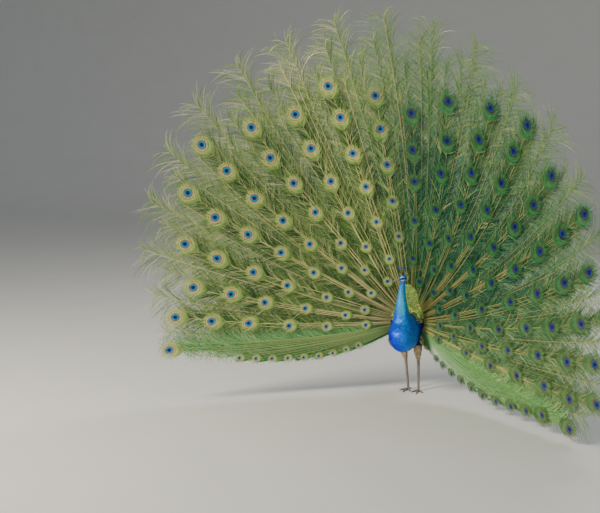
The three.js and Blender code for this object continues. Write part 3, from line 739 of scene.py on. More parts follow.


# %% [markdown]
# ## Laying out the fan
# In a real fan the eyes stand on a lattice: every second ray starts half a step further in and ends
# further out. A random spread would leave gaps and pairs, so the lattice is kept and each feather only
# wanders a little from it. The short feathers lie in front of the long ones. Between the rays stand
# the fishtails, behind the rest. Crowded small eyes, green fillers and stiff one-sided feathers close
# both lower edges.

# %% Painted shade and edge of the fan
SECTORS = 10
SHED = (-9, -8, -7, -3, -1, 0, 1)
EDGE_DISTANCES = (0.37, 0.58, 0.78, 0.97, 1.15)
EDGE_BELOW = {1: (2.5, 1.7, 1.2, 0.5, 0.05), -1: (1.9, 1.5, 0.95, 0.6, 0.3)}
FIRST_EDGE_EYE = 0.36
EDGE_EYE_SPAN = 0.77
EDGE_EYES = {
    1: FIRST_EDGE_EYE + EDGE_EYE_SPAN * np.linspace(0, 1, 10) ** 1.1,
    -1: np.linspace(FIRST_EDGE_EYE, 0.99, 9),
}
EDGE_EYE_SIZES = {1: (0.5, 0.75), -1: (0.45, 0.55)}
EDGE_EYE_INSIDE = 0.024
SWORD_TIPS = {1: np.linspace(0.34, 1.2, 10), -1: np.linspace(0.34, 1.02, 8)}
FILLER_TIPS = np.linspace(0.34, 1.2, 7)
FILLER_SHARES = (0.14, 0.38, 0.62, 0.86)
LAST_RAY_EYES = {LAST_RAY: (4.0, 5.0), -LAST_RAY: (5.0,)}


def painted_fan_shade(angle):
    """How much painted shade, in deep emerald, the feathers at an angle show: most on the half away from
    the light, a little less low on the bird's left.
    """
    lower = 1 - 0.22 * smooth_step(0.9, 1.8, angle)
    return float((0.04 + 0.92 * smooth_step(-0.3, 0.16, np.sin(angle))) * lower)


def sector_of(i):
    return min(int(2 * (i + 10)) // 4, SECTORS - 1)


def edge_below(side, distance):
    """How many rays the fan's lower edge is past the last ray, at a distance from the root."""
    return np.interp(distance, EDGE_DISTANCES, EDGE_BELOW[side])


def edge_angle(side, distance, inside=0.0):
    """The angle of the fan's lower edge, or of a place some rays inside it."""
    return ray_angle(side * (LAST_RAY + edge_below(side, distance) - inside))


print("the edge is at", [round(math.degrees(edge_angle(side, 1.0))) for side in (-1, 1)], "degrees")

# %% The list of feathers
BETWEEN_RAYS = ((0.5, 0.0), (0.2, 0.1), (0.8, 0.16), (0.35, 0.24), (0.65, 0.3))
layout = [[] for _ in range(SECTORS)]
for i in range(-LAST_RAY, LAST_RAY + 1):
    first, last = (0.0, 5.0) if i % 2 == 0 else (-0.5, 5.5)
    rows = np.arange(first, last + (0.1 if i not in SHED else -0.9), 1.0)
    for k in LAST_RAY_EYES.get(i, rows):
        layout[sector_of(i)].append(("eyed", ray_angle(i), eye_place(k), k))
    if i < LAST_RAY:
        for shift, shorter in BETWEEN_RAYS:
            layout[sector_of(i + 0.5)].append(("fishtail", ray_angle(i + shift), None, shorter))
for side, sector in ((-1, 0), (1, SECTORS - 1)):
    for distance in EDGE_EYES[side]:
        inside = EDGE_EYE_INSIDE / (distance * RAY_SPACING)
        layout[sector].append(("edge", edge_angle(side, distance, inside), distance, 0))
    for distance in SWORD_TIPS[side]:
        layout[sector].append(("sword", edge_angle(side, distance, -0.08), distance, side))
    for distance in FILLER_TIPS:
        for share in FILLER_SHARES:
            inside = share * (edge_below(side, distance) + 0.3)
            layout[sector].append(("filler", edge_angle(side, distance, inside), distance + 0.05, side))
print("the fan has", sum(len(feathers) for feathers in layout), "feathers")

# %% How long the fishtails are
TOP_FISHTAIL = 1.6
SIDE_FISHTAIL = {1: (1.37, 2), -1: (1.3, 4)}


def fishtail_length(angle):
    """The longest fishtail at an angle: the sides of the fan are shorter than its top."""
    shortest, power = SIDE_FISHTAIL[1 if angle > 0 else -1]
    return mix(TOP_FISHTAIL, shortest, math.sin(min(abs(angle), math.pi / 2)) ** power)


reaches = [round(fishtail_length(math.radians(angle)), 2) for angle in (-90, 0, 90)]
print("at the sides and the top the fishtails reach", reaches, "m")

# %% One feather of the list
# The green of edge and filler quills grows with the painted shade: the first share on the lit half, the
# second in full painted shade.
EDGE_GREEN = (0.72, 1.0)


def lay_feather(pile, strip, kind, angle, distance, k):
    """A feather of the list. What k says depends on its kind: a row, a shortening or a side."""
    shade = painted_fan_shade(angle)
    side = int(math.copysign(1, angle))
    short = side if abs(angle) > side * ray_angle(side * (LAST_RAY - 0.45)) else 0
    if kind == "eyed":
        angle += rng.normal(0, 0.006)
        distance += rng.normal(0, 0.006)
        wander = rng.uniform(-0.09, 0.09)
        size = 0.55 + 0.45 * smooth_step(0.25, 1.15, distance)
        offset = 0.002 + 0.0012 * (5.5 - k)
        green = 0.8 * rng.random() ** 2
        place = (angle, distance, wander, offset)
        eyed_feather(pile, strip, *place, shade, size, 0.002, green, short, size)
    elif kind == "fishtail":
        tip = fishtail_length(angle) - k - abs(rng.normal(0, 0.02))
        wander = rng.uniform(-0.05, 0.05)
        green = 0.8 * rng.random()
        fishtail_feather(pile, strip, angle, tip, wander, -0.003, shade, green=green, short=short)
    elif kind == "edge":
        wander = rng.uniform(-0.02, 0.02)
        size = mix(*EDGE_EYE_SIZES[side], (distance - FIRST_EDGE_EYE) / EDGE_EYE_SPAN)
        place = (angle, distance, wander, 0.013)
        green = mix(*EDGE_GREEN, shade)
        eyed_feather(pile, strip, *place, shade, size, 0.006, green, side, EMERALD_FLAG)
    elif kind == "filler":
        place = (angle, distance, 0.0, 0.011)
        green = mix(*EDGE_GREEN, shade)
        fishtail_feather(pile, strip, *place, shade, 0.0056, green, EMERALD_FLAG, side)
    else:
        sword_feather(pile, strip, angle, distance, k, shade)


print("kinds of feather:", sorted({feather[0] for feathers in layout for feather in feathers}))

# %% The ten sectors of the train
for number, feathers in enumerate(layout):
    pile = Pile("vane", "plume")
    for index, feather in enumerate(feathers):
        lay_feather(pile, Strip(index, len(feathers)), *feather)
    fan = pile.build(f"train_feathers_{number + 1:02d}", [barb_material, shaft_material])
    dress(fan, "train_plumage", f"train_fan_{number + 1:02d}")
    print(fan.name, "has", len(feathers), "feathers and", len(fan.data.polygons), "triangles")


# %% [markdown]
# ## One skin
# The trunk, neck, head, thighs, the raised mantle and the fleshy root of the train are one skin on
# the real bird. It could be sculpted, but then it wouldn't follow the solids. So each is a closed loft
# here, a little inside its solid by the depth of the coat, and a voxel remesh melts them together, so
# that no seam shows where the neck leaves the breast.

# %% Measures of the body
TRUNK = {"breast": -0.235, "rump": 0.205, "half_width": 0.075, "back": 0.1, "belly": 0.106}
TRUNK_HEIGHT = 0.32
RUMP_RISE = 0.03
NECK_BOTTOM = {"x": 0.0, "y": -0.122, "z": 0.335, "side": 0.066, "depth": 0.068}
NECK_TOP = {"x": 0.013, "y": -0.186, "z": 0.602, "side": 0.0135, "depth": 0.0145}
NECK_SWAY = 0.007
HEAD_PLACE = np.array([0.012, -0.189, 0.613])
HEAD_TURN = math.radians(44)
HEAD_NOD = math.radians(5)
HEAD_LENGTH = 0.048
MANTLE = {"base": 0.04, "top": 0.212, "half_width": 0.062, "thickness": 0.026}
ROOT_RADIUS = 0.121
ROOT_THICKNESS = 0.013
HEAD_BOTTOM = 0.592
NECK_FOOT = 0.42
NECK_BACK = -0.088
HIP = np.array([0.043, -0.014, 0.262])
HOCK = np.array([0.037, 0.004, 0.158])
HOCK_SHARE = 0.35
FEET = {"left": np.array([0.06, -0.038, 0.0]), "right": np.array([0.0, -0.026, 0.0])}
print("from breast to rump the trunk is", round(TRUNK["rump"] - TRUNK["breast"], 3), "m long")


# %% Rings and lofts
def ring(centre, side, lift, count, sag=None):
    """A ring of points. Side and lift are its half axes, and sag is the lower one."""
    turn = np.arange(count) / count * 2 * math.pi
    sag = lift if sag is None else sag
    upright = np.where(np.sin(turn)[:, None] < 0, sag, lift) * np.sin(turn)[:, None]
    return centre + np.cos(turn)[:, None] * side + upright


def ring_faces(rows, count, turned=False):
    """Triangles between rings of points."""
    i = np.arange(count)
    j = (i + 1) % count
    faces = []
    for r in range(rows - 1):
        a, b = r * count + i, r * count + j
        faces += [np.stack([a, b, b + count], -1), np.stack([a, b + count, a + count], -1)]
    faces = np.concatenate(faces)
    return faces[:, ::-1] if turned else faces


def closed_faces(rows, count):
    """Triangles between rings, and to one more point at each end. The two points come last."""
    i = np.arange(count)
    j = (i + 1) % count
    last = (rows - 1) * count
    first_end = np.stack([np.full(count, rows * count), j, i], -1)
    second_end = np.stack([np.full(count, rows * count + 1), last + i, last + j], -1)
    return np.concatenate([ring_faces(rows, count), first_end, second_end])


def facing_out(points, faces):
    """The triangles of a closed body, turned over if they face inwards."""
    a, b, c = (points[faces[:, k]] - points.mean(axis=0) for k in range(3))
    return faces if (a * np.cross(b, c)).sum() > 0 else faces[:, ::-1]


def loft(rings):
    """A closed body through rings of points, with a fan at each end."""
    rings = np.asarray(rings)
    points = np.concatenate([rings.reshape(-1, 3), rings[[0, -1]].mean(axis=1)])
    return points, facing_out(points, closed_faces(*rings.shape[:2]))


print("a loft of 9 rings of 12 points has", len(closed_faces(9, 12)), "triangles")


# %% Trunk
def trunk_rings(swell, steps=40, count=48):
    middle = (TRUNK["breast"] + TRUNK["rump"]) / 2
    half = (TRUNK["rump"] - TRUNK["breast"]) / 2 + swell
    rings = []
    for k in range(steps + 1):
        u = -math.cos(math.pi * mix(0.03, 0.97, k / steps))
        plan = (1 - u * u) ** 0.62 if u < 0 else (1 - u**5) ** 0.45
        back = (1 - u**4) ** 0.5 if u < 0 else (1 - u**3) ** 0.5
        belly = (1 - u * u) ** 0.8 if u < 0 else (1 - u**4) ** 0.45
        rise = RUMP_RISE * (0.5 - 0.5 * u) ** 2
        centre = np.array([0, middle - u * half, TRUNK_HEIGHT + rise])
        side = np.array([max(TRUNK["half_width"] * plan + swell, 0.002), 0, 0])
        lift = np.array([0, 0, max(TRUNK["back"] * back + swell, 0.002)])
        sag = np.array([0, 0, max(TRUNK["belly"] * belly + swell, 0.002)])
        rings.append(ring(centre, side, lift, count, sag))
    return rings


print("the trunk has", len(trunk_rings(0.0)), "rings")


# %% Neck
def neck_rings(swell, steps=40, count=40):
    rings = []
    for k in range(steps + 1):
        t = k / steps
        flare = (1 - t) ** 1.5
        sway = NECK_SWAY * math.sin(math.pi * t)
        centre = np.array(
            [
                mix(NECK_BOTTOM["x"], NECK_TOP["x"], t) - sway,
                mix(NECK_TOP["y"], NECK_BOTTOM["y"], (1 - t) ** 1.25),
                mix(NECK_BOTTOM["z"], NECK_TOP["z"], t),
            ]
        )
        side = mix(NECK_TOP["side"], NECK_BOTTOM["side"], flare) + swell
        depth = mix(NECK_TOP["depth"], NECK_BOTTOM["depth"], flare) + swell
        rings.append(ring(centre, np.array([side, 0, 0]), np.array([0, depth, 0]), count))
    return rings


print("the neck has", len(neck_rings(0.0)), "rings")


# %% Head
def head_axes():
    """The matrix that turns the head's own directions, where the bill points to -Y, to the bird's."""
    c, s = math.cos(HEAD_NOD), math.sin(HEAD_NOD)
    nod = np.array([[1, 0, 0], [0, c, -s], [0, s, c]])
    c, s = math.cos(-HEAD_TURN), math.sin(-HEAD_TURN)
    return np.array([[c, -s, 0], [s, c, 0], [0, 0, 1]]) @ nod


def turn_head(points):
    """From the head's own directions to the bird's."""
    return points @ head_axes().T + HEAD_PLACE


def in_head(points):
    """From the bird's directions to the head's own."""
    return (points - HEAD_PLACE) @ head_axes()


def head_section(t):
    """Half widths of the head across, up and down, from the nape (t = 0) to the bill (t = 1)."""
    nape = np.sqrt(1 - (1 - np.clip(t / 0.42, 0, 1)) ** 2)
    front = smooth_step(0.5, 1, t)
    halves = ((0.0145, 0.0068), (0.018, 0.0065), (0.017, 0.0095))
    return [mix(behind * nape, before, front) for behind, before in halves]


def head_point(t, around, swell=0.0):
    """Points of the head in its own directions."""
    t, around = np.broadcast_arrays(t, around)
    width, crown, throat = (half + swell for half in head_section(t))
    up = np.sin(around)
    height = np.where(up < 0, throat, crown) * up
    along = HEAD_LENGTH * (0.5 - t) + swell * (1 - 2 * t)
    return np.stack([width * np.cos(around), along, height], axis=-1)


print("the bill points to", turn_head(np.array([[0.0, -1.0, 0.0]]))[0].round(2))


# %% Thighs
def limb_rings(start, end, start_radius, end_radius, steps, count, bulge=0.0):
    axis = unit(end - start)
    side = unit(np.array([1.0, 0, 0]) - axis * axis[0])
    lift = np.cross(axis, side)
    rings = []
    for k in range(steps + 1):
        t = k / steps
        radius = mix(start_radius, end_radius, t) + bulge * math.sin(math.pi * t**0.8)
        rings.append(ring(mix(start, end, t), side * radius, lift * radius, count))
    return rings


def knee_of(side, name):
    return np.array([mix(side * HOCK[0], FEET[name][0], HOCK_SHARE), HOCK[1], HOCK[2]])


print("the knees are at", *[knee_of(side, name).round(3) for side, name in SIDES])


# %% Mantle and root of the train
def dish_frame(angle, s):
    step = 0.01
    line = train_point(angle, s)
    across = unit(train_point(angle + step, s) - train_point(angle - step, s))
    along = unit(train_point(angle, s + 0.001) - train_point(angle, s - 0.001))
    return line, across, unit(np.cross(across, along))


def mantle_rings(swell, steps=24, count=32):
    rings = []
    for k in range(steps + 1):
        t = mix(0.02, 0.985, k / steps)
        line, across, face = dish_frame(np.array(0.0), np.array(mix(MANTLE["base"], MANTLE["top"], t)))
        rounding = math.sqrt(1 - np.clip((t - 0.45) / 0.55, 0, 1) ** 2)
        half = MANTLE["thickness"] / 2 * max(0.16, rounding * (1 - 0.45 * t))
        width = max(MANTLE["half_width"] * rounding + swell, 0.003)
        rings.append(ring(line + face * half, across * width, face * max(half + swell, 0.002), count))
    return rings


def root_disc(swell, rows=10, columns=60):
    """The fleshy disc under the train, as front and back sheets with walls between them."""
    s = np.linspace(0.012, ROOT_RADIUS + swell, rows)[:, None].repeat(columns, axis=1)
    angles = np.linspace(ray_angle(-10.7), ray_angle(10.7), columns)[None].repeat(rows, axis=0)
    line, _, face = dish_frame(angles, s)
    half = mix(ROOT_THICKNESS / 2, 0.0016, np.clip(s / ROOT_RADIUS, 0, 1) ** 1.5)[..., None]
    points = np.concatenate([(line + face * half).reshape(-1, 3), (line - face * half).reshape(-1, 3)])
    index = np.arange(rows * columns).reshape(rows, columns)
    a, b, c, d = index[:-1, :-1], index[:-1, 1:], index[1:, 1:], index[1:, :-1]
    back = rows * columns
    front = np.stack([a, b, c, d], -1).reshape(-1, 4)
    quads = [front, front[:, ::-1] + back]
    rim = np.concatenate([index[0], index[1:, -1], index[-1, -2::-1], index[-2:0:-1, 0]])
    after = np.roll(rim, -1)
    quads.append(np.stack([after, rim, rim + back, after + back], -1))
    quads = np.concatenate(quads)
    return points, np.concatenate([quads[:, [0, 1, 2]], quads[:, [0, 2, 3]]])


print("the root disc has", len(root_disc(0.0)[1]), "triangles")

# %% All bodies together
turns = np.arange(40) / 40 * 2 * math.pi
head_steps = [mix(0.02, 1, (k / 30) ** 1.3) for k in range(31)]
bodies = [
    loft(trunk_rings(-0.006)),
    loft(neck_rings(-0.0025)),
    loft([turn_head(head_point(t, turns, -0.0012)) for t in head_steps]),
    loft(mantle_rings(-0.004)),
    root_disc(-0.003),
]
for side, name in SIDES:
    top = HIP * np.array([side, 1, 1])
    bodies.append(loft(limb_rings(top, knee_of(side, name), 0.022, 0.0075, 16, 28, 0.004)))
raw = Pile()
for points, faces in bodies:
    raw.add(points, faces, (0.5, 0.5))
skin = raw.build("skin_raw", [])
print(len(bodies), "bodies wait to be melted into one skin")


# %% Melted into one skin
def baked(made, name):
    """A plain mesh object from what the modifiers make of another, which is then deleted."""
    view = bpy.context.evaluated_depsgraph_get()
    mesh = bpy.data.meshes.new_from_object(made.evaluated_get(view))
    mesh.name = name
    bpy.data.objects.remove(made)
    plain = bpy.data.objects.new(name, mesh)
    bpy.context.scene.collection.objects.link(plain)
    return plain


melt = skin.modifiers.new("melt", "REMESH")
melt.mode = "VOXEL"
melt.voxel_size = 0.0025
ease = skin.modifiers.new("ease", "SMOOTH")
ease.factor = 0.5
ease.iterations = 6
skin = baked(skin, "skin")
print("the skin has", len(skin.data.polygons), "faces")


# %% The crease under the neck
def read(mesh, what, key, width=3):
    values = np.zeros(len(what) * width, dtype=np.float32)
    what.foreach_get(key, values)
    return values.reshape(-1, width).astype(float)


def melt_crease(mesh, height, reach, passes):
    """Fills the crease where the neck runs into the breast, by easing the points near that height."""
    points = read(mesh, mesh.vertices, "co") - BIRD
    ends = np.zeros(len(mesh.edges) * 2, dtype=np.int32)
    mesh.edges.foreach_get("vertices", ends)
    first, second = ends.reshape(-1, 2).T
    count = np.bincount(ends, minlength=len(points))[:, None]
    near = np.exp(-(((points[:, 2] - height) / reach) ** 2)) * smooth_step(-0.02, -0.06, points[:, 1])
    for _ in range(passes):
        total = np.stack(
            [
                np.bincount(first, points[second, axis], len(points))
                + np.bincount(second, points[first, axis], len(points))
                for axis in range(3)
            ],
            axis=-1,
        )
        points = points + 0.7 * near[:, None] * (total / count - points)
    mesh.vertices.foreach_set("co", (points + BIRD).astype(np.float32).ravel())
    mesh.update()


CREASE = {"height": 0.405, "reach": 0.045, "passes": 160}
melt_crease(skin.data, **CREASE)
skin.data.shade_smooth()
skin_points = read(skin.data, skin.data.vertices, "co") - BIRD
skin_normals = read(skin.data, skin.data.vertex_normals, "vector")
print("the skin's lowest point is at", round(float(skin_points[:, 2].min()), 3), "m")

# %% [markdown]
# ## Markings and the lie of the coat
# Blue covers the head, neck and breast. The mantle and the train's root wear golden-green scales, the
# thighs are buff, and the flanks are a dark glossy green. The markings could be painted by hand, but
# the skin and the coat must carry the same ones, so they are rules on the place of a point. Each
# point also knows which way its feathers lie: back from the bill, down the neck, along the trunk, and
# out over the raised mantle.


# %% Markings
def markings(points):
    """Blue, golden and buff shares of the coat at points about the bird's centre."""
    x, y, z = points.T
    on_neck = (z > NECK_FOOT) & (y < NECK_BACK) | (z > 0.59)
    ruffle = 0.006 * np.sin(900 * x + 700 * z) + 0.006 * np.sin(400 * z - 300 * y)
    breast = smooth_step(-0.02, -0.12, y + ruffle) * smooth_step(0.222, 0.262, z - 0.25 * y - 0.03)
    blue = np.where(on_neck, 1.0, breast)
    raised = (z > 0.374 + ruffle) & (y > NECK_BACK) & (z < 0.6)
    gold = np.where(raised, smooth_step(0.07, 0.01, y), 0.0)
    thigh = (z < 0.25) & (np.abs(y) < 0.05) & (np.abs(x) > 0.008)
    buff = np.where(thigh, smooth_step(0.262, 0.235, z), 0.0)
    return np.stack([blue * (1 - gold) * (1 - buff), gold, buff], axis=-1)


print("blue covers", round(100 * float((markings(skin_points)[:, 0] > 0.5).mean())), "% of the skin")


# %% The lie of the coat
def lie_of_coat(points):
    """The way that the feathers lie at points about the bird's centre."""
    x, y, z = points.T
    trunk = np.array([0.0, 1.0, -0.2])
    down = np.array([0.0, 0.25, -1.0])
    backward = turn_head(np.array([[0.0, 1.0, -0.25]]))[0] - HEAD_PLACE
    flow = mix(trunk, down, (smooth_step(-0.08, -0.2, y) * 0.8)[:, None])
    flow = mix(flow, down, smooth_step(0.07, 0.15, y)[:, None])
    flow = mix(flow, down, (smooth_step(0.4, 0.46, z) * smooth_step(-0.03, -0.06, y))[:, None])
    flow = mix(flow, backward, smooth_step(0.588, 0.606, z)[:, None])
    _, gold, thigh = markings(points).T
    outward = np.stack([x, np.full_like(x, -0.1), z - ROOT_HEIGHT + 0.02], -1)
    flow = np.where(((gold > 0.5) & (z > 0.39))[:, None], unit(outward), flow)
    return unit(mix(flow, np.array([0.0, 0.35, -1.0]), thigh[:, None]))


print("on average the coat lies along", lie_of_coat(skin_points).mean(axis=0).round(2))


# %% Places of the coat on the bake map
def unwrap(points):
    """A place on the bake map: each body has its own tile, unrolled round its axis."""
    x, y, z = points.T
    head = z > HEAD_BOTTOM
    neck = (z > NECK_FOOT) & (y < NECK_BACK) & ~head
    leg = (z < 0.235) & (np.abs(y) < 0.06)
    turn_trunk = np.arctan2(z - TRUNK_HEIGHT, x) / (2 * math.pi) + 0.5
    turn_neck = np.arctan2(y + 0.15, x - 0.004) / (2 * math.pi) + 0.5
    turn_top = np.arctan2(y - HEAD_PLACE[1], x - HEAD_PLACE[0]) / (2 * math.pi) + 0.5
    u = 0.02 + 0.44 * turn_trunk
    v = 0.03 + 0.9 * np.clip((y + 0.25) / 0.5, 0, 1)
    u = np.where(neck, 0.5 + 0.22 * turn_neck, u)
    v = np.where(neck, 0.03 + 0.9 * np.clip((z - NECK_FOOT) / 0.18, 0, 1), v)
    u = np.where(head, 0.76 + 0.22 * turn_top, u)
    v = np.where(head, 0.53 + 0.44 * np.clip((z - 0.59) / 0.06, 0, 1), v)
    u = np.where(leg, 0.76 + 0.1 * (x > 0.02) + 0.1 * turn_trunk, u)
    v = np.where(leg, 0.03 + 0.44 * np.clip((z - 0.15) / 0.09, 0, 1), v)
    return np.stack([u, v], axis=-1)


place = unwrap(skin_points)
print("on the bake map the skin reaches from", place.min(axis=0).round(2), "to", place.max(axis=0).round(2))

# %% Marks of the face
EYE_FORWARD, EYE_UP, EYE_OUT = 0.006, 0.0035, 0.0086
EYE_BALL = 0.0056


def bare_face(points):
    """1 on the white bare skin above and below each eye, 0 elsewhere."""
    x, y, z = in_head(points).T
    fore, up = -y - EYE_FORWARD, z - EYE_UP
    bow = fore + 0.0015
    below = (bow / 0.0098) ** 2 + ((up + 0.0101 - 27 * bow**2) / 0.0025) ** 2 < 1
    above = (fore / 0.0088) ** 2 + ((up - 0.0066 + 22 * fore**2) / 0.0009) ** 2 < 1
    return (below | above) & (np.abs(x) > 0.004)


def dark_stripe(points):
    """How dark the coat is on the blue-black stripe from the bill through the eye."""
    x, y, z = in_head(points).T
    band = np.exp(-(((z - EYE_UP + 0.001) / (0.0042 + 0.06 * np.maximum(-y - 0.01, 0))) ** 2))
    return band * smooth_step(0.016, 0.008, y) * (np.abs(x) > 0.003)


print("bare skin takes", int(bare_face(skin_points).sum()), "points of the skin")

# %% The skin's own attributes
skin_marks = markings(skin_points)
layer = skin.data.attributes.new("marks", "FLOAT_VECTOR", "POINT")
layer.data.foreach_set("vector", skin_marks.astype(np.float32).ravel())
print("the skin carries", [made.name for made in skin.data.attributes])

# %% The material of the coat
# A contour feather is a vane of fine barbs. Its plates throw back blue or gold and little else, so the
# vane is half metallic and satin. Its barbs run out from the shaft about 1 mm apart, drawn as waves on
# the feather's own place, three to a blade of 10 mm, coarser than life so that they show.
BLUES = [(0.0, "#0610a4"), (0.25, "#0a30ff"), (0.5, "#1264ff"), (0.75, "#2698ff"), (1.0, "#44d4ff")]
BRONZES = [(0.0, "#86b450"), (0.45, "#aed26c"), (0.8, "#d4e88c"), (1.0, "#f4e09c")]
DULLS = [(0.0, "#0a1e18"), (0.5, "#12382a"), (0.85, "#24482e"), (1.0, "#3f4a2c")]
BUFFS = [(0.0, "#a58a62"), (0.5, "#c4ab82"), (1.0, "#dccaa6")]
ASHES = [(0.0, "#38322a"), (0.5, "#544c40"), (1.0, "#786c5a")]
feather_material, tree, shader = surface("scale_feather", 0.42, 0.4, Specular_IOR_Level=0.3)
tuft = add_node(tree, ATTRIBUTE, attribute_name="tuft").outputs["Vector"]
across, along, chance = add_node(tree, PARTS, [tuft]).outputs
marks = add_node(tree, ATTRIBUTE, attribute_name="marks").outputs["Vector"]
blue_share, gold_share, buff_share = add_node(tree, PARTS, [marks]).outputs
glow = add_node(tree, ATTRIBUTE, attribute_name="glow").outputs["Vector"]
blue_light_and_ash, dark, _ = add_node(tree, PARTS, [glow]).outputs
print("the coat has", len(BLUES), "blues and", len(BRONZES), "bronzes")

# %% Blue and bronze vanes with dark rims
# The first value of glow is painted light on the blue, low for navy in painted shade and high for cyan at
# the painted highlight. On the dull coat it is the share of ash.
play = add_node(tree, MATH, [chance, 0.5], **TAKE)
play = add_node(tree, MATH, [play, 0.22], **TIMES)
play = add_node(tree, MATH, [blue_light_and_ash, play], **ADD)
blue = add_node(tree, RAMP, [play], BLUES)
bronze = add_node(tree, RAMP, [chance], BRONZES)
off_shaft = add_node(tree, MATH, [across], **SIZE_OF)
off_shaft = add_node(tree, MATH, [off_shaft, 0.12], **TIMES)
edge = add_node(tree, MATH, [along, off_shaft], **ADD)
rim = add_node(tree, "ShaderNodeMapRange", {"Value": edge, "From Min": 0.82, "From Max": 0.97})
bronze_rim = add_node(tree, MATH, [rim, 0.6], **TIMES)
bronze = add_node(tree, MIX, [bronze_rim, bronze, "#1c4a20"], **COLOURS)
blue_rim = add_node(tree, MATH, [rim, 0.3], **TIMES)
blue = add_node(tree, MIX, [blue_rim, blue, "#04103c"], **COLOURS)
print("blue and bronze take", len(tree.nodes), "nodes with the shader")

# %% The whole coat
dull = add_node(tree, RAMP, [chance], DULLS)
ash = add_node(tree, RAMP, [chance], ASHES)
buff = add_node(tree, RAMP, [chance], BUFFS)
coat = add_node(tree, MIX, [blue_light_and_ash, dull, ash], **COLOURS)
for share, colour in ((blue_share, blue), (gold_share, bronze), (buff_share, buff), (dark, "#05070f")):
    coat = add_node(tree, MIX, [share, coat, colour], **COLOURS)
barb_wave = add_node(tree, "ShaderNodeTexWave", {"Vector": tuft, "Scale": 3.0}).outputs["Fac"]
groove = add_node(tree, MATH, [barb_wave, 0.12], **TIMES)
coat = add_node(tree, MIX, [groove, coat, "#000000"], **COLOURS)
link(tree, coat, shader, "Base Color")
relief = add_node(tree, BUMP, {"Height": barb_wave, "Strength": 0.25, "Distance": 0.4 * MM})
link(tree, relief, shader, "Normal")
print(feather_material.name, "has", len(tree.nodes), "nodes")

# %% The skin under the coat
# Short down in the shade of the coat: matt, dark, and mottled in tufts of about 5 mm.
DOWN_TUFT = 5 * MM
skin_material, tree, shader = surface("plumage_ground", 0.55, 0.15)
marks = add_node(tree, ATTRIBUTE, attribute_name="marks").outputs["Vector"]
place = add_node(tree, COORDINATES).outputs["Object"]
mottle = add_node(tree, NOISE, {"Vector": place, "Scale": 1 / DOWN_TUFT, "Detail": 4.0})
ground = "#1c1e18"
shares = add_node(tree, PARTS, [marks]).outputs
for share, colour in zip(shares, ("#0a2a96", "#3f5218", "#8f7a58")):
    ground = add_node(tree, MIX, [share, ground, colour], **COLOURS)
depth = add_node(tree, MATH, [mottle, 0.5], **TIMES)
ground = add_node(tree, MIX, [depth, ground, "#05060a"], **COLOURS)
link(tree, ground, shader, "Base Color")
relief = add_node(tree, BUMP, {"Height": mottle, "Strength": 0.5, "Distance": 1 * MM})
link(tree, relief, shader, "Normal")
skin.data.materials.append(skin_material)
flesh = ("trunk", "neck_lower", "neck_upper", "head", "thigh_left", "thigh_right", "mantle", "train_root")
dress(skin, "blue_plumage", *flesh)
print("one skin stands for", len(flesh), "solids")

# %% [markdown]
# ## The coat
# On the real bird each contour feather is a small rounded vane that lies over the roots of the next.
# Hair particles would give strands, not vanes, and copies of one blade would float over the curved
# skin. So each feather is a thin blade of five columns and five rows, whose points are laid back on the
# skin, low at the root and proud at the tip. The blades shingle as in life. They are tiny on the face,
# scale-like on the neck, broad on the mantle and long and loose on the rump and thighs.

# %% The skin as a thing to lie on
skin.data.calc_loop_triangles()
skin_corners = np.zeros(len(skin.data.loop_triangles) * 3, dtype=np.int32)
skin.data.loop_triangles.foreach_get("vertices", skin_corners)
skin_faces = skin_corners.reshape(-1, 3)
skin_tree = BVHTree.FromPolygons(skin_points.tolist(), skin_faces.tolist())
print("the coat is laid on", len(skin_faces), "triangles")


# %% Places spread over a body
def scatter(points, normals, faces, spacing):
    """Places spread over triangles, none nearer to another than about the spacing."""
    corners = points[faces]
    sizes = np.linalg.norm(np.cross(corners[:, 1] - corners[:, 0], corners[:, 2] - corners[:, 0]), axis=1)
    tries = int(sizes.sum() / 2 / spacing**2 * 7)
    picks = rng.choice(len(faces), tries, p=sizes / sizes.sum())
    r, q = np.sqrt(rng.random(tries)), rng.random(tries)
    weights = np.stack([1 - r, r * (1 - q), r * q], axis=-1)[..., None]
    places = (corners[picks] * weights).sum(axis=1)
    facing = unit((normals[faces[picks]] * weights).sum(axis=1))
    cells, kept = {}, []
    near = [(a, b, c) for a in (-1, 0, 1) for b in (-1, 0, 1) for c in (-1, 0, 1)]
    least = (0.82 * spacing) ** 2
    keys = np.floor(places / spacing).astype(int).tolist()
    for n, (key, place) in enumerate(zip(keys, places.tolist())):
        others = (p for a, b, c in near for p in cells.get((key[0] + a, key[1] + b, key[2] + c), ()))
        if all(sum((u - v) ** 2 for u, v in zip(place, p)) > least for p in others):
            cells.setdefault(tuple(key), []).append(place)
            kept.append(n)
    return places[kept], facing[kept]


# %% Blades laid on a body
BLADE_ROWS = np.array([0.0, 0.3, 0.6, 0.84, 1.0])
BLADE_WIDTHS = np.array([0.4, 0.86, 1.0, 0.86, 0.5])
BLADE_COLUMNS = np.array([-1.0, -0.55, 0.0, 0.55, 1.0])
BLADE_POINTS = len(BLADE_ROWS) * len(BLADE_COLUMNS)
MAP_PATCH = 0.0015


def sheet_faces(rows, columns):
    """Triangles of a sheet of points in rows and columns."""
    index = np.arange(rows * columns).reshape(rows, columns)
    a, b = index[:-1, :-1].ravel(), index[:-1, 1:].ravel()
    below_b, below_a = index[1:, 1:].ravel(), index[1:, :-1].ravel()
    return np.concatenate([np.stack([a, b, below_b], -1), np.stack([a, below_b, below_a], -1)])


def settle(body, flat, height):
    """Points moved to the nearest place on a body, and raised from it."""
    settled = np.empty_like(flat)
    for n, place in enumerate(flat):
        found, normal, _, _ = body.find_nearest(place)
        settled[n] = np.array(found) + np.array(normal) * height[n]
    return settled


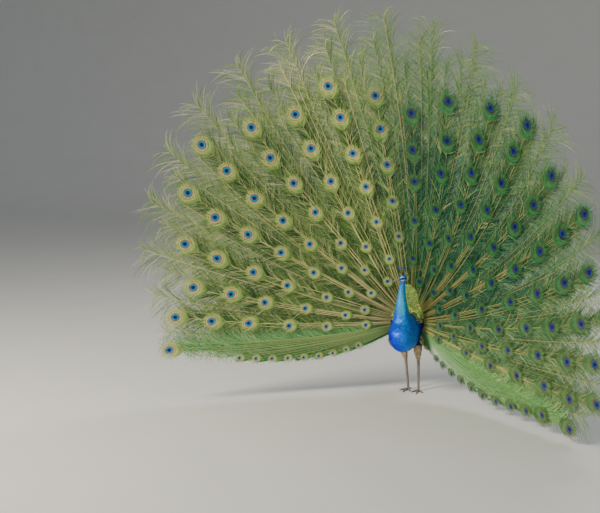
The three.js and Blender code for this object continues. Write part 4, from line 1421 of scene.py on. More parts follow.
def lay_coat(pile, body, roots, facing, flow, sizes, marks, glow, places):
    """Blades on a body, given the places, directions and (length, width, depth) of each."""
    count = len(roots)
    length, width, depth = (v[:, None, None] for v in sizes.T)
    length = length * rng.uniform(0.8, 1.15, (count, 1, 1))
    flow = unit(flow - facing * (flow * facing).sum(axis=-1, keepdims=True))
    flow = unit(flow + np.cross(facing, flow) * rng.normal(0, 0.1, (count, 1)))
    side = np.cross(facing, flow)
    t = BLADE_ROWS[None, :, None]
    c = BLADE_COLUMNS[None, None, :]
    reach = length * (t - 0.14 * c * c * t**3)
    sideways = width / 2 * c * BLADE_WIDTHS[None, :, None]
    flat = roots[:, None, None] + flow[:, None, None] * reach[..., None]
    flat = flat + side[:, None, None] * sideways[..., None]
    lift = t**1.2 * (1 + 0.25 * rng.random((count, 1, 1))) - 0.15
    height = depth * lift + 0.1 * width * (1 - np.abs(c)) * t
    points = settle(body, flat.reshape(-1, 3), np.broadcast_to(height, reach.shape).ravel())
    faces = sheet_faces(len(BLADE_ROWS), len(BLADE_COLUMNS))
    faces = faces[None] + np.arange(count)[:, None, None] * BLADE_POINTS
    chance = rng.random((count, 1, 1))
    tuft = np.stack(np.broadcast_arrays(c, t, chance), axis=-1).reshape(-1, 3)
    patch = places[:, None, None] + MAP_PATCH * np.stack(np.broadcast_arrays(c, 2 * t - 1), axis=-1)
    each = lambda v: np.repeat(v, BLADE_POINTS, axis=0)
    pile.add(points, faces, patch.reshape(-1, 2), tuft=tuft, marks=each(marks), glow=each(glow))


print("a blade has", len(sheet_faces(len(BLADE_ROWS), len(BLADE_COLUMNS))), "triangles")

# %% Regions of the coat
# Spacing, then the length, width and depth of a feather, for each region.
COAT = {
    "head": (0.0017, 0.0052, 0.0028, 0.0008),
    "upper_neck": (0.0038, 0.0115, 0.0062, 0.0016),
    "lower_neck": (0.0055, 0.016, 0.0086, 0.0022),
    "breast": (0.008, 0.023, 0.0125, 0.0036),
    "mantle": (0.0056, 0.0145, 0.0098, 0.0024),
    "root": (0.008, 0.021, 0.0135, 0.003),
    "flank": (0.0095, 0.03, 0.0155, 0.0045),
    "vent": (0.0088, 0.046, 0.0095, 0.008),
    "rump": (0.0085, 0.05, 0.0085, 0.0095),
    "thigh": (0.0056, 0.022, 0.0062, 0.004),
}
COAT_PIECES = {
    "coat_blue": ("blue_plumage", ("head", "upper_neck", "lower_neck", "breast")),
    "coat_scales": ("scale_plumage", ("mantle", "root")),
    "coat_dull": ("thigh_plumage", ("flank", "vent", "rump", "thigh")),
}


def region(mesh_points, faces):
    """The name of the coat region of each triangle of the skin."""
    middle = mesh_points[faces].mean(axis=1)
    x, y, z = middle.T
    marks = markings(middle)
    names = np.full(len(faces), "flank", dtype=object)
    names[marks[:, 0] > 0.5] = "breast"
    names[(z < 0.275) & (y > 0.03)] = "vent"
    names[y > 0.085] = "rump"
    names[marks[:, 2] > 0.5] = "thigh"
    names[marks[:, 1] > 0.5] = "root"
    front = (marks[:, 1] > 0.5) & (np.hypot(x, z - 0.47) < 0.1) & (z > 0.36)
    names[front] = "mantle"
    neck = (z > NECK_FOOT) & (y < NECK_BACK)
    names[neck] = "lower_neck"
    names[neck & (z > 0.5)] = "upper_neck"
    names[z > HEAD_BOTTOM] = "head"
    return names


print("the coat has", len(COAT), "kinds of feather")


# %% Painted light and shade on the blue
def blue_light_and_shade(points):
    """Painted light on the blue of the breast and neck, from 0 (navy, painted shade) to 1 (cyan, painted
    highlight).
    """
    x, y, z = points.T
    # The bird's left side and the upper neck are painted brighter, the bird's lower right side navy as
    # painted shade, a painted highlight lies on the front of the neck, and the blue is painted darker
    # toward the back.
    turned = smooth_step(-0.06, 0.035, x + 0.25 * (z - 0.32))
    lit = np.exp(-(((x - 0.012) / 0.03) ** 2) - ((z - 0.5) / 0.07) ** 2)
    play = (0.12 + 0.55 * turned + 0.3 * lit) * mix(0.1, 1, smooth_step(-0.05, -0.13, y))
    return np.clip(play, 0, 1)


print("on the skin the play of blue goes up to", round(float(blue_light_and_shade(skin_points).max()), 2))

# %% The pieces of the coat
EYE_CLEARANCE = 0.0068
BILL_ROOT = -0.0238
eye_middles = turn_head(np.array([[s * EYE_OUT, -EYE_FORWARD, EYE_UP] for s in (1.0, -1.0)]))
skin_regions = region(skin_points, skin_faces)


def off_face(roots):
    """True where a feather of the head may grow: off the eyes, the bare skin and the bill."""
    from_eyes = np.linalg.norm(roots[:, None] - eye_middles[None], axis=-1).min(axis=1)
    return (from_eyes > EYE_CLEARANCE) & ~bare_face(roots) & (in_head(roots)[:, 1] > BILL_ROOT)


for piece_name, (slot, regions) in COAT_PIECES.items():
    pile = Pile("tuft", "marks", "glow")
    for name in regions:
        spacing, *size = COAT[name]
        roots, facing = scatter(skin_points, skin_normals, skin_faces[skin_regions == name], spacing)
        if name == "head":
            keep = off_face(roots)
            roots, facing = roots[keep], facing[keep]
        marks = markings(roots)
        dark = np.where(roots[:, 2] > HEAD_BOTTOM, 0.9 * dark_stripe(roots), 0.0)
        blue_light_and_ash = blue_light_and_shade(roots)
        if slot == "thigh_plumage":
            blue_light_and_ash = mix(0.9 * smooth_step(0.03, 0.13, roots[:, 1]), blue_light_and_ash, marks[:, 0])
        glow = np.stack([blue_light_and_ash, dark, np.zeros_like(blue_light_and_ash)], axis=-1)
        sizes = np.broadcast_to(size, (len(roots), 3))
        lay_coat(pile, skin_tree, roots, facing, lie_of_coat(roots), sizes, marks, glow, unwrap(roots))
    coat = pile.build(piece_name, [feather_material], smooth=True)
    dress(coat, slot)
    print(piece_name, "has", pile.count // BLADE_POINTS, "feathers")

# %% [markdown]
# ## Wings
# The wings hang a little below the flanks, half spread, as in any display. Barred buff coverts shingle
# the lens of each wing, and chestnut primaries and dark secondaries run back from under them. The
# coverts are laid as the coat is, on a loft of the wing's lens. The long feathers are stiff, so each is
# one straight blade with a raised shaft.


# %% The lens of a wing
WING = {"shoulder": (-0.108, 0.294), "tip": (0.262, 0.176), "half_depth": 0.046, "thickness": 0.012}
WING_STAND_OFF = 0.009
WING_TUCK = 0.022
WING_LEAN = 0.014


def wing_rings(side, steps=28, count=36):
    rings = []
    for k in range(steps + 1):
        t = k / steps
        rounding = math.sqrt(max(0.0, 1 - (1 - min(1.0, 2.6 * t)) ** 2))
        outline = max(0.14, rounding) * (1 - 0.82 * t**1.6)
        x = TRUNK["half_width"] + WING_STAND_OFF - WING_TUCK * t * t
        centre = np.array(
            [
                side * x,
                mix(WING["shoulder"][0], WING["tip"][0], t),
                mix(WING["shoulder"][1], WING["tip"][1], t**0.85),
            ]
        )
        half = WING["thickness"] / 2 * mix(1, 0.22, t) * 0.6
        upward = np.array([-side * WING_LEAN * outline, 0, WING["half_depth"] * outline])
        rings.append(ring(centre, np.array([side * half, 0, 0]), upward * 0.94, count))
    return rings


print("a wing's lens has", len(wing_rings(1)), "rings")

# %% The material of the wings
# Wing feathers are hard matt vanes without interference colours. Their bars are two stripes of about
# 10 mm on a covert of 30 mm, so the wave has twelve radians from root to tip.
COVERT_BARS = 12.0
wing_material, tree, shader = surface("wing_vane", 0.6)
tuft = add_node(tree, ATTRIBUTE, attribute_name="tuft").outputs["Vector"]
_, along, chance = add_node(tree, PARTS, [tuft]).outputs
glow = add_node(tree, ATTRIBUTE, attribute_name="glow").outputs["Vector"]
kind, bars, _ = add_node(tree, PARTS, [glow]).outputs
wave = add_node(tree, MATH, [along, bars], **TIMES)
wave = add_node(tree, MATH, [wave], operation="SINE")
barred = add_node(tree, MATH, [wave, 0.1], **MORE_THAN)
vane = add_node(tree, MIX, [barred, "#d9c8a2", "#1d1914"], **COLOURS)
primary_tone = add_node(tree, RAMP, [chance], [(0.0, "#7a4424"), (1.0, "#a8683a")])
secondary_tone = add_node(tree, RAMP, [chance], [(0.0, "#16181c"), (1.0, "#2c3434")])
for least, tone in ((0.5, primary_tone), (1.5, secondary_tone)):
    is_kind = add_node(tree, MATH, [kind, least], **MORE_THAN)
    vane = add_node(tree, MIX, [is_kind, vane, tone], **COLOURS)
link(tree, vane, shader, "Base Color")
print(wing_material.name, "has", len(tree.nodes), "nodes")


# %% One long stiff feather
def long_blade(pile, line, across, face, half_width, strip, kind, camber=0.1):
    """Rows of seven points across a centre line, and a raised shaft."""
    rows = len(line)
    c = np.linspace(-1, 1, 7)[None]
    t = np.linspace(0, 1, rows)[:, None]
    half = half_width[:, None]
    points = line[:, None] + across[:, None] * (c * half)[..., None]
    points = points + face[:, None] * (camber * half * (1 - np.abs(c)) + 0.0012 * (c == 0))[..., None]
    faces = sheet_faces(rows, 7)
    place = np.stack(np.broadcast_arrays(strip[0] + strip[1] * (0.5 + 0.47 * c), 0.02 + 0.96 * t), -1)
    tuft = np.stack(np.broadcast_arrays(c, t, rng.random()), -1).reshape(-1, 3)
    pile.add(points, faces, place.reshape(-1, 2), tuft=tuft, glow=np.array([kind, 0.0, 0.0]))


# %% Flight feathers
# Primaries, then secondaries: how many and of which kind, where the first one starts and ends, and how
# far both places move over the whole row. A place says how far back it is, and how high.
FLIGHT = (
    (10, 1.0, ((0.03, 0.238), (0.262, 0.163)), ((0.05, 0.012), (-0.05, 0.02))),
    (9, 2.0, ((0.01, 0.27), (0.19, 0.2)), ((0.03, -0.008), (-0.03, 0.075))),
)
LONG_FEATHERS = sum(count for count, *_ in FLIGHT)


def flight_feather(pile, side, n, kind, start, end):
    """One long feather of a wing, from its start to its end."""
    t = np.linspace(0, 1, 12)
    y, z = (start + (end - start) * t[:, None]).T
    x = side * (0.0785 - 0.02 * ((y + 0.108) / 0.37) ** 2 + 0.0007 * (n % 5))
    line = np.stack([x, y, z], axis=-1)
    face = np.array([side, 0.0, 0.0])
    across = np.cross(face, unit(np.array([0.0, *(end - start)])))
    half = 0.0125 * np.interp(t, [0, 0.3, 0.8, 0.95, 1], [0.6, 1, 0.95, 0.6, 0.12])
    strip = (0.5 + 0.5 * n / LONG_FEATHERS, 0.5 / LONG_FEATHERS)
    full = [np.broadcast_to(way, line.shape) for way in (across, face)]
    long_blade(pile, line, *full, half, strip, kind)


def flight_feathers(pile, side):
    """The fan of primaries and secondaries that runs back from under the coverts of one wing."""
    n = 0
    for count, kind, first, shift in FLIGHT:
        for share in np.arange(count) / count:
            flight_feather(pile, side, n, kind, *(np.array(first) + share * np.array(shift)))
            n += 1


print("a wing has", LONG_FEATHERS, "long feathers")


# %% Coverts
COVERT_SPACING = 0.0085
COVERT_LENGTHS = (0.018, 0.032)
COVERT_WIDTH = 0.0135
COVERT_DEPTH = 0.003
COVERTS_END = 0.12


def corner_normals(points, faces):
    """The way out of a body at each of its points."""
    a, b, c = (points[faces[:, k]] for k in range(3))
    total = np.zeros_like(points)
    for corner in range(3):
        np.add.at(total, faces[:, corner], unit(np.cross(b - a, c - a)))
    return unit(total)


def coverts(pile, side, points, faces):
    """Barred coverts over both faces of one wing's lens."""
    body = BVHTree.FromPolygons(points.tolist(), faces.tolist())
    chosen = faces[points[faces].mean(axis=1)[:, 1] < COVERTS_END]
    roots, facing = scatter(points, corner_normals(points, faces), chosen, COVERT_SPACING)
    lie = np.broadcast_to(unit(np.array([0.0, 1.0, -0.3])), roots.shape)
    length = mix(*COVERT_LENGTHS, smooth_step(-0.1, 0.1, roots[:, 1]))
    sizes = np.stack(np.broadcast_arrays(length, COVERT_WIDTH, COVERT_DEPTH), -1)
    glow = np.broadcast_to([0.0, COVERT_BARS, 0.0], roots.shape)
    u = 0.02 + 0.44 * (roots[:, 1] + 0.11) / 0.26
    v = 0.05 + 0.44 * (roots[:, 2] - 0.2) / 0.14 + 0.48 * (facing[:, 0] * side > 0)
    places = np.stack([u, v], axis=-1)
    lay_coat(pile, body, roots, facing, lie, sizes, np.zeros_like(roots), glow, places)


# %% Both wings
for side, name in SIDES:
    pile = Pile("tuft", "glow")
    flight_feathers(pile, side)
    coverts(pile, side, *loft(wing_rings(side)))
    wing = pile.build(f"wing_feathers_{name}", [wing_material], smooth=True)
    dress(wing, "wing_plumage", f"wing_{name}")
    print(wing.name, "has", len(wing.data.polygons), "triangles")

# %% [markdown]
# ## The true tail
# Behind the train stands the short stiff tail that props it: eighteen grey-brown feathers, each with a
# pale shaft and faint bars. Each is a blade on the same dish as the train, a little behind it.

# %% The material of the tail
# A hard matt vane. Its faint bars are 40 mm apart on a feather of 430 mm, and its shaft is pale horn.
TAIL = {"feathers": 18, "length": 0.43, "spread": math.radians(118), "behind": 0.015, "sweep": 0.026}
BAR_STEP = 40 * MM
tail_material, tree, shader = surface("tail_vane", 0.65)
tuft = add_node(tree, ATTRIBUTE, attribute_name="tuft").outputs["Vector"]
across, along, chance = add_node(tree, PARTS, [tuft]).outputs
slant = add_node(tree, MATH, [across, 3.0], **TIMES)
bars = add_node(tree, MATH, [along, 2 * math.pi * TAIL["length"] / BAR_STEP], **TIMES)
bars = add_node(tree, MATH, [bars, slant], **ADD)
bars = add_node(tree, MATH, [bars], operation="SINE")
bars = add_node(tree, MATH, [bars, 1.0], **ADD)
bars = add_node(tree, MATH, [bars, 0.16], **TIMES)
tone = add_node(tree, RAMP, [chance], [(0.0, "#3a2c1c"), (1.0, "#5e4a30")])
tone = add_node(tree, MIX, [bars, tone, "#1d1814"], **COLOURS)
off_shaft = add_node(tree, MATH, [across], **SIZE_OF)
margin = add_node(tree, MATH, [off_shaft, 5.0], operation="POWER")
margin = add_node(tree, MATH, [margin, 0.8], **TIMES)
tone = add_node(tree, MIX, [margin, tone, "#15100b"], **COLOURS)
on_shaft = add_node(tree, MATH, [off_shaft, 0.06], **LESS_THAN)
tone = add_node(tree, MIX, [on_shaft, tone, "#a8987a"], **COLOURS)
link(tree, tone, shader, "Base Color")
print(tail_material.name, "has", len(tree.nodes), "nodes")

# %% The tail
pile = Pile("tuft")
for n in range(TAIL["feathers"]):
    angle = TAIL["spread"] * ((n + 0.5) / TAIL["feathers"] - 0.5)
    t = 0.26 + 0.74 * np.linspace(0, 1, 22) ** 0.7
    s = TAIL["length"] * t * (1 - 0.03 * rng.random())
    line, across, face = dish_frame(np.full_like(s, angle), s)
    line = line - face * (TAIL["behind"] + TAIL["sweep"] * t + 0.0014 * (n % 2))[:, None]
    spread = TAIL["spread"] / TAIL["feathers"] * s * 0.8
    half = spread * np.sqrt(np.clip(1 - (np.clip(t - 0.9, 0, 1) / 0.1) ** 2, 0.01, 1))
    strip = (n / TAIL["feathers"], 1 / TAIL["feathers"])
    long_blade(pile, line, across, -face, half, strip, 0.0, 0.06)
tail = pile.build("tail_feathers", [tail_material], smooth=True)
dress(tail, "tail_plumage", "tail")
print(tail.name, "has", TAIL["feathers"], "feathers")


# %% [markdown]
# ## Face
# The bare white skin above and below the eye, the lids and the wet dark eye make the face. The white
# skin could be a mark in the coat, but it stands a little proud of the feathers' roots, so it is a pair
# of low pads on each side of the head. The eyeball is a real ball in a ring of lid, with a brown iris
# round its pupil and a cornea that bulges, because a painted eye has no depth when the head turns.

# %% Pads of bare skin
PADS = (
    ((0.0045, -0.0066), (0.0112, 0.0034, 0.0034), 0.0009),
    ((0.006, 0.0101), (0.0102, 0.0016, -0.0023), 0.0007),
)
PAD_SUNK = 0.0011


def head_surface(fore, up, lift):
    """Points on the side of the head, lifted by an amount, in the head's own directions."""
    width, crown, throat = head_section(0.5 + fore / HEAD_LENGTH)
    tall = np.where(up < 0, throat, crown)
    x = width * np.sqrt(np.clip(1 - (up / tall) ** 2, 0.02, 1))
    return np.stack([x + lift, -fore, up], axis=-1)


def pad(centre, half, side, raised, rings=7, count=36):
    """A low rounded pad on the side of the head."""
    r = np.linspace(0, 1, rings)[:, None]
    turn = np.linspace(0, 2 * math.pi, count, endpoint=False)[None]
    fore = centre[0] + half[0] * r * np.cos(turn)
    up = centre[1] + half[1] * r * np.sin(turn) + half[2] * (r * np.cos(turn)) ** 2
    lift = raised * np.sqrt(np.clip(1 - r**4, 0, 1)) - PAD_SUNK
    points = head_surface(fore, up, lift) * np.array([side, 1, 1])
    return points, ring_faces(rings, count, side > 0)


print("the face has", 2 * len(PADS), "pads of bare skin")

# %% Bare skin and lids
# Bare skin is soft, matt and a little translucent, with papillae of about 0.6 mm that dimple it. The
# lid is dark wet-edged skin with wrinkles of 0.8 mm.
PAPILLA = 0.6 * MM
WRINKLE = 0.8 * MM
bare_material, tree, shader = surface("bare_facial_skin", 0.5, Subsurface_Weight=0.15)
place = add_node(tree, COORDINATES).outputs["Object"]
grain = add_node(tree, "ShaderNodeTexVoronoi", {"Vector": place, "Scale": 1 / PAPILLA})
link(tree, add_node(tree, MIX, [grain, "#eeeae0", "#c9c6ba"], **COLOURS), shader, "Base Color")
relief = add_node(tree, BUMP, {"Height": grain, "Strength": 0.4, "Distance": 0.5 * MM})
link(tree, relief, shader, "Normal")
lid_material, *_ = mottled("lid_skin", 0.45, WRINKLE, ("#15161c", "#34353c"))
print("the skins of the face are", bare_material.name, "and", lid_material.name)

# %% The wet eye
# Under a clear wet coat the iris is brown with threads of about 0.6 mm, and the pupil is black. How far
# a point is turned from the way the eye looks is an attribute, so the rings need no picture.
IRIS_THREAD = 0.6 * MM
PUPIL_TURN = 0.5
IRIS_TURN = 1.0
eye_material, tree, shader = surface("wet_eye", 0.08, Coat_Weight=1.0, Coat_Roughness=0.02)
turned = add_node(tree, ATTRIBUTE, attribute_name="eye").outputs["Fac"]
place = add_node(tree, COORDINATES).outputs["Object"]
threads = add_node(tree, NOISE, {"Vector": place, "Scale": 1 / IRIS_THREAD, "Detail": 3.0})
iris = add_node(tree, MIX, [threads, "#1c0f07", "#4a2a14"], **COLOURS)
in_pupil = add_node(tree, MATH, [turned, PUPIL_TURN], **LESS_THAN)
iris = add_node(tree, MIX, [in_pupil, iris, "#020202"], **COLOURS)
past_iris = add_node(tree, MATH, [turned, IRIS_TURN], **MORE_THAN)
iris = add_node(tree, MIX, [past_iris, iris, "#0c0a08"], **COLOURS)
link(tree, iris, shader, "Base Color")
print(eye_material.name, "has", len(tree.nodes), "nodes")


# %% Where an eye looks
def eye_frame(side):
    """The eye's middle, the way it looks, and two directions across, in the head's own frame."""
    out = unit(np.array([side * 0.97, -0.24, 0.1]))
    lift = unit(np.array([0.0, 0.0, 1.0]) - out * out[2])
    return np.array([side * EYE_OUT, -EYE_FORWARD, EYE_UP]), out, lift, np.cross(lift, out)


def about_eye(side, out_by, up_by, level_by):
    """Points from their distances out of the eye's middle, up and level, in the bird's directions."""
    middle, out, lift, level = eye_frame(side)
    ways = ((out, out_by), (lift, up_by), (level, level_by))
    points = middle + sum(way * np.asarray(by)[..., None] for way, by in ways)
    return turn_head(points.reshape(-1, 3))


print("in the head the left eye's middle is at", eye_frame(1)[0])

# %% Pads and lids
LID_TURN = 40
LID_ROLL = 12
LID_HALF = 0.0009
LID_OPENING = 0.86
face = Pile()
for side in (1, -1):
    for centre, half, raised in PADS:
        points, faces = pad(centre, half, side, raised)
        face.add(turn_head(points.reshape(-1, 3)), faces, (0.5, 0.5))
    turn = np.linspace(0, 2 * math.pi, LID_TURN, endpoint=False)[None]
    roll = np.linspace(0, 2 * math.pi, LID_ROLL + 1)[:, None]
    wide = EYE_BALL * LID_OPENING + LID_HALF * np.cos(roll)
    forward = (EYE_BALL * 0.52 + LID_HALF * np.sin(roll)) * np.ones_like(turn)
    points = about_eye(side, forward, wide * np.sin(turn) * 0.86, wide * np.cos(turn) * 1.04)
    face.add(points, ring_faces(LID_ROLL + 1, LID_TURN, side < 0), (0.5, 0.5), slot=1)
face_skin = face.build("face_skin", [bare_material, lid_material], smooth=True, mapped=False)
dress(face_skin, "leg_skin")
print(face_skin.name, "has", len(face_skin.data.polygons), "triangles")


# %% Eyeballs
BALL_RINGS = 40
BALL_RADIUS = EYE_BALL * 0.985
CORNEA = 0.0003


def eyeball(side):
    """Points of the ball, how far each is turned from the way the eye looks, and its triangles."""
    tilt = np.linspace(0, math.pi, BALL_RINGS)[1:-1, None]
    turn = np.linspace(0, 2 * math.pi, BALL_RINGS, endpoint=False)[None]
    reach = BALL_RADIUS + CORNEA * np.exp(-((tilt / 0.5) ** 2))
    level = reach * np.sin(tilt)
    forward = reach * np.cos(tilt) * np.ones_like(turn)
    points = about_eye(side, forward, level * np.sin(turn), level * np.cos(turn))
    poles = about_eye(side, np.array([BALL_RADIUS + CORNEA, -BALL_RADIUS]), np.zeros(2), np.zeros(2))
    turned = np.concatenate([np.repeat(tilt[:, 0], BALL_RINGS), [0.0, math.pi]])
    points = np.concatenate([points, poles])
    faces = facing_out(points, closed_faces(len(tilt), BALL_RINGS))
    return points, faces, turned[:, None].repeat(3, axis=1)


for side, name in SIDES:
    pile = Pile("eye")
    points, faces, turned = eyeball(side)
    pile.add(points, faces, (0.5, 0.5), eye=turned)
    ball = pile.build(f"eyeball_{name}", [eye_material], smooth=True, mapped=False)
    dress(ball, "eye", f"eye_{name}")
    print(ball.name, "is", round(2000 * BALL_RADIUS, 1), "mm across")

# %% [markdown]
# ## Bill
# The bill is short, stout and a little hooked. Both halves are lofts along a seam that droops and
# hooks, because one loft could not show the mouth line. The upper one carries the dent of a nostril
# on each side.

# %% Bill horn
# Bill horn is keratin, smooth and satin, with cloudy streaks of about 2.4 mm and no sheen of metal.
STREAK = 2.4 * MM
horn_material, tree, shader, streaks = mottled("bill_horn", 0.38, STREAK, ("#5c564a", "#b3a994"), 4.0)
relief = add_node(tree, BUMP, {"Height": streaks, "Strength": 0.3, "Distance": 0.3 * MM})
link(tree, relief, shader, "Normal")
print(horn_material.name, "has", len(tree.nodes), "nodes")

# %% Both halves of the bill
BILL = {"length": 0.034, "half_width": 0.0064, "upper": 0.0096, "lower": 0.0046}
SEAM = -0.0044
BILL_DROOP = 0.0016
BILL_HOOK = 0.0022
NOSTRIL = {"along": 0.3, "length": 0.09, "depth": 0.0013}


def bill_rings(upper, steps=30, sides=24):
    rings = []
    length = BILL["length"] * (1.0 if upper else 0.8)
    for k in range(steps + 1):
        t = (k / steps) ** 0.8
        taper = math.sqrt(max(0.004, 1 - t**1.7))
        width = BILL["half_width"] * mix(1, 0.55, t) * taper
        share = t * length / BILL["length"]
        seam = SEAM - BILL_DROOP * share**2 - BILL_HOOK * smooth_step(0.8, 1, share)
        height = (BILL["upper"] if upper else BILL["lower"]) * taper * mix(1, 0.75, t)
        turn = np.linspace(0, math.pi, sides + 1)
        ridge = np.sin(turn) ** 0.9
        along = np.exp(-(((t - NOSTRIL["along"]) / NOSTRIL["length"]) ** 2)) if upper else 0.0
        dent = NOSTRIL["depth"] * along * np.exp(-(((ridge - 0.5) / 0.14) ** 2))
        x = (width - dent) * np.cos(turn)
        z = seam + (1 if upper else -1) * (0.00015 + height * ridge)
        y = np.full_like(x, -HEAD_LENGTH / 2 + 0.002 - t * (length + 0.002))
        rings.append(turn_head(np.stack([x, y, z], axis=-1)))
    return rings


for upper, name in ((True, "bill_upper"), (False, "bill_lower")):
    pile = Pile()
    pile.add(*loft(bill_rings(upper)), (0.5, 0.5))
    half_bill = pile.build(name + "_horn", [horn_material], smooth=True, mapped=False)
    dress(half_bill, "bill_horn", name)
    print(half_bill.name, "has", len(half_bill.data.polygons), "triangles")

# %% [markdown]
# ## Crest
# About two dozen bare quills stand in a fan on the crown, and each ends in a small blue-green tuft of
# barbs. One feather repeats along an arc, so Geometry Nodes are the right tool: a tuft is made of barbs
# on one point, joined to its quill, and the whole is placed again and again, turned by its place
# in the row. Its sizes stay inputs of the tree.

# %% Crest quill and crest tip
# The quill is dull dark horn with flecks of 2 mm. The tip's barbs are satin with a metallic blue-green
# play that changes every 4 mm.
FLECK = 2 * MM
PLAY = 4 * MM
quill_material, *_ = mottled("crest_quill", 0.5, FLECK, ("#2a2620", "#6a6252"))
tip_material, tree, shader = surface("crest_tip", 0.4, 0.4)
place = add_node(tree, COORDINATES).outputs["Object"]
play = add_node(tree, NOISE, {"Vector": place, "Scale": 1 / PLAY, "Detail": 3.0})
tone = add_node(tree, RAMP, [play], [(0.3, "#0a3fae"), (0.5, "#0f86d8"), (0.7, "#1fae9c")])
link(tree, tone, shader, "Base Color")
print(tip_material.name, "has", len(tree.nodes), "nodes")


# %% Growing with Geometry Nodes
def new_tree(name, *inputs):
    """An empty Geometry Nodes tree with a geometry output and named inputs."""
    tree = bpy.data.node_groups.new(name, "GeometryNodeTree")
    tree.interface.new_socket("Geometry", in_out="OUTPUT", socket_type="NodeSocketGeometry")
    for label, kind in inputs:
        tree.interface.new_socket(label, in_out="INPUT", socket_type=kind)
    return tree, tree.nodes.new("NodeGroupInput"), tree.nodes.new("NodeGroupOutput")


def grown(name, tree, values):
    """A plain mesh object from a tree and its input values."""
    holder = bpy.data.objects.new(name, bpy.data.meshes.new(name))
    bpy.context.scene.collection.objects.link(holder)
    modifier = holder.modifiers.new("grow", "NODES")
    modifier.node_group = tree
    for item in tree.interface.items_tree:
        if item.in_out == "INPUT":
            modifier[item.identifier] = values[item.name]
    made = baked(holder, name)
    made.data.shade_smooth()
    return made


# %% One crest feather
tree, entry, leave = new_tree(
    "crest_fan",
    ("Count", "NodeSocketInt"),
    ("Spread", "NodeSocketFloat"),
    ("Length", "NodeSocketFloat"),
    ("Barbs", "NodeSocketInt"),
    ("Seed", "NodeSocketInt"),
)
count, spread, length, barb_count, seed, _ = entry.outputs
STALK = {"Vertices": 6, "Side Segments": 6, "Radius Top": 0.00028, "Radius Bottom": 0.0006}
BARB = {"Vertices": 4, "Side Segments": 3, "Radius Top": 0.00012, "Radius Bottom": 0.00042, "Depth": 0.0085}
BARB_FAN = 1.15
BARB_REACH = 0.0055
stalk = add_node(tree, "GeometryNodeMeshCone", {**STALK, "Depth": length})
stalk = add_node(tree, "GeometryNodeSetMaterial", {"Geometry": stalk, "Material": quill_material})
barb = add_node(tree, "GeometryNodeMeshCone", BARB)
starts = add_node(tree, "GeometryNodePoints", {"Count": barb_count})
index = add_node(tree, "GeometryNodeInputIndex")
last = add_node(tree, MATH, [barb_count, 1.0], **TAKE)
share = add_node(tree, MATH, [index, last], **OVER)
share = add_node(tree, MATH, [share, 0.5], **TAKE)
barb_turn = add_node(tree, MATH, [share, BARB_FAN], **TIMES)
barb_loss = add_node(tree, MATH, [barb_turn], **SIZE_OF)
barb_loss = add_node(tree, MATH, [barb_loss, 0.35], **TIMES)
barb_size = add_node(tree, MATH, [1.0, barb_loss], **TAKE)
barb_way = add_node(tree, JOINED, {"X": barb_turn})
barbs = {"Points": starts, "Instance": barb, "Rotation": barb_way, "Scale": barb_size}
tip = add_node(tree, "GeometryNodeInstanceOnPoints", barbs)
tip = add_node(tree, "GeometryNodeRealizeInstances", {"Geometry": tip})
tip_height = add_node(tree, MATH, [length, BARB_REACH], **TAKE)
tip_place = add_node(tree, JOINED, {"Z": tip_height})
tip = add_node(tree, "GeometryNodeTransform", {"Geometry": tip, "Translation": tip_place})
tip = add_node(tree, "GeometryNodeSetMaterial", {"Geometry": tip, "Material": tip_material})
feather = add_node(tree, "GeometryNodeJoinGeometry")
for grown_part in (stalk, tip):
    link(tree, grown_part, feather, "Geometry")
print("a crest feather takes", len(tree.nodes), "nodes")

# %% The fan of crest feathers
# Three random values, from three seeds next to the tree's own, lean and size each feather.
RANDOM = "FunctionNodeRandomValue"
index = add_node(tree, "GeometryNodeInputIndex")
last = add_node(tree, MATH, [count, 1.0], **TAKE)
share = add_node(tree, MATH, [index, last], **OVER)
share = add_node(tree, MATH, [share, 0.5], **TAKE)
lean = add_node(tree, MATH, [share, spread], **TIMES)
jitter = add_node(tree, RANDOM, {"Min": -0.05, "Max": 0.05, "Seed": seed})
lean = add_node(tree, MATH, [lean, jitter], **ADD)
lean = add_node(tree, MATH, [lean, -1.0], **TIMES)
next_seed = add_node(tree, MATH, [seed, 3.0], **ADD)
sideways = add_node(tree, RANDOM, {"Min": -0.14, "Max": 0.14, "Seed": next_seed})
turned = add_node(tree, JOINED, {"X": lean, "Y": sideways})
next_seed = add_node(tree, MATH, [seed, 7.0], **ADD)
size = add_node(tree, RANDOM, {"Min": 0.86, "Max": 1.0, "Seed": next_seed})
roots = add_node(tree, "GeometryNodePoints", {"Count": count})
fan = {"Points": roots, "Instance": feather, "Rotation": turned, "Scale": size}
fan = add_node(tree, "GeometryNodeInstanceOnPoints", fan)
fan = add_node(tree, "GeometryNodeRealizeInstances", {"Geometry": fan})
link(tree, fan, leave, "Geometry")
print("the whole crest takes", len(tree.nodes), "nodes")

# %% The crest on the crown
CREST = {"Count": 24, "Spread": math.radians(62), "Length": 0.046, "Barbs": 11, "Seed": 4}
CREST_ROOT = np.array([0.0, 0.004, 0.0155])
crest = grown("crest_feathers", tree, CREST)
crest_points = turn_head(read(crest.data, crest.data.vertices, "co") + CREST_ROOT) + BIRD
crest.data.vertices.foreach_set("co", crest_points.astype(np.float32).ravel())
crest.data.update()
dress(crest, "crest_plumage", "crest")
print(crest.name, "has", len(crest.data.polygons), "faces")

# %% [markdown]
# ## Legs
# Bare legs of scaly grey-brown skin, a spur behind each, four toes with padded soles and dark curved
# claws. Rings of scutes run down the front of each shank. They could be a bump in the material, but
# they catch light at the leg's outline, so they are real rings. They repeat along a line, so Geometry
# Nodes place them.

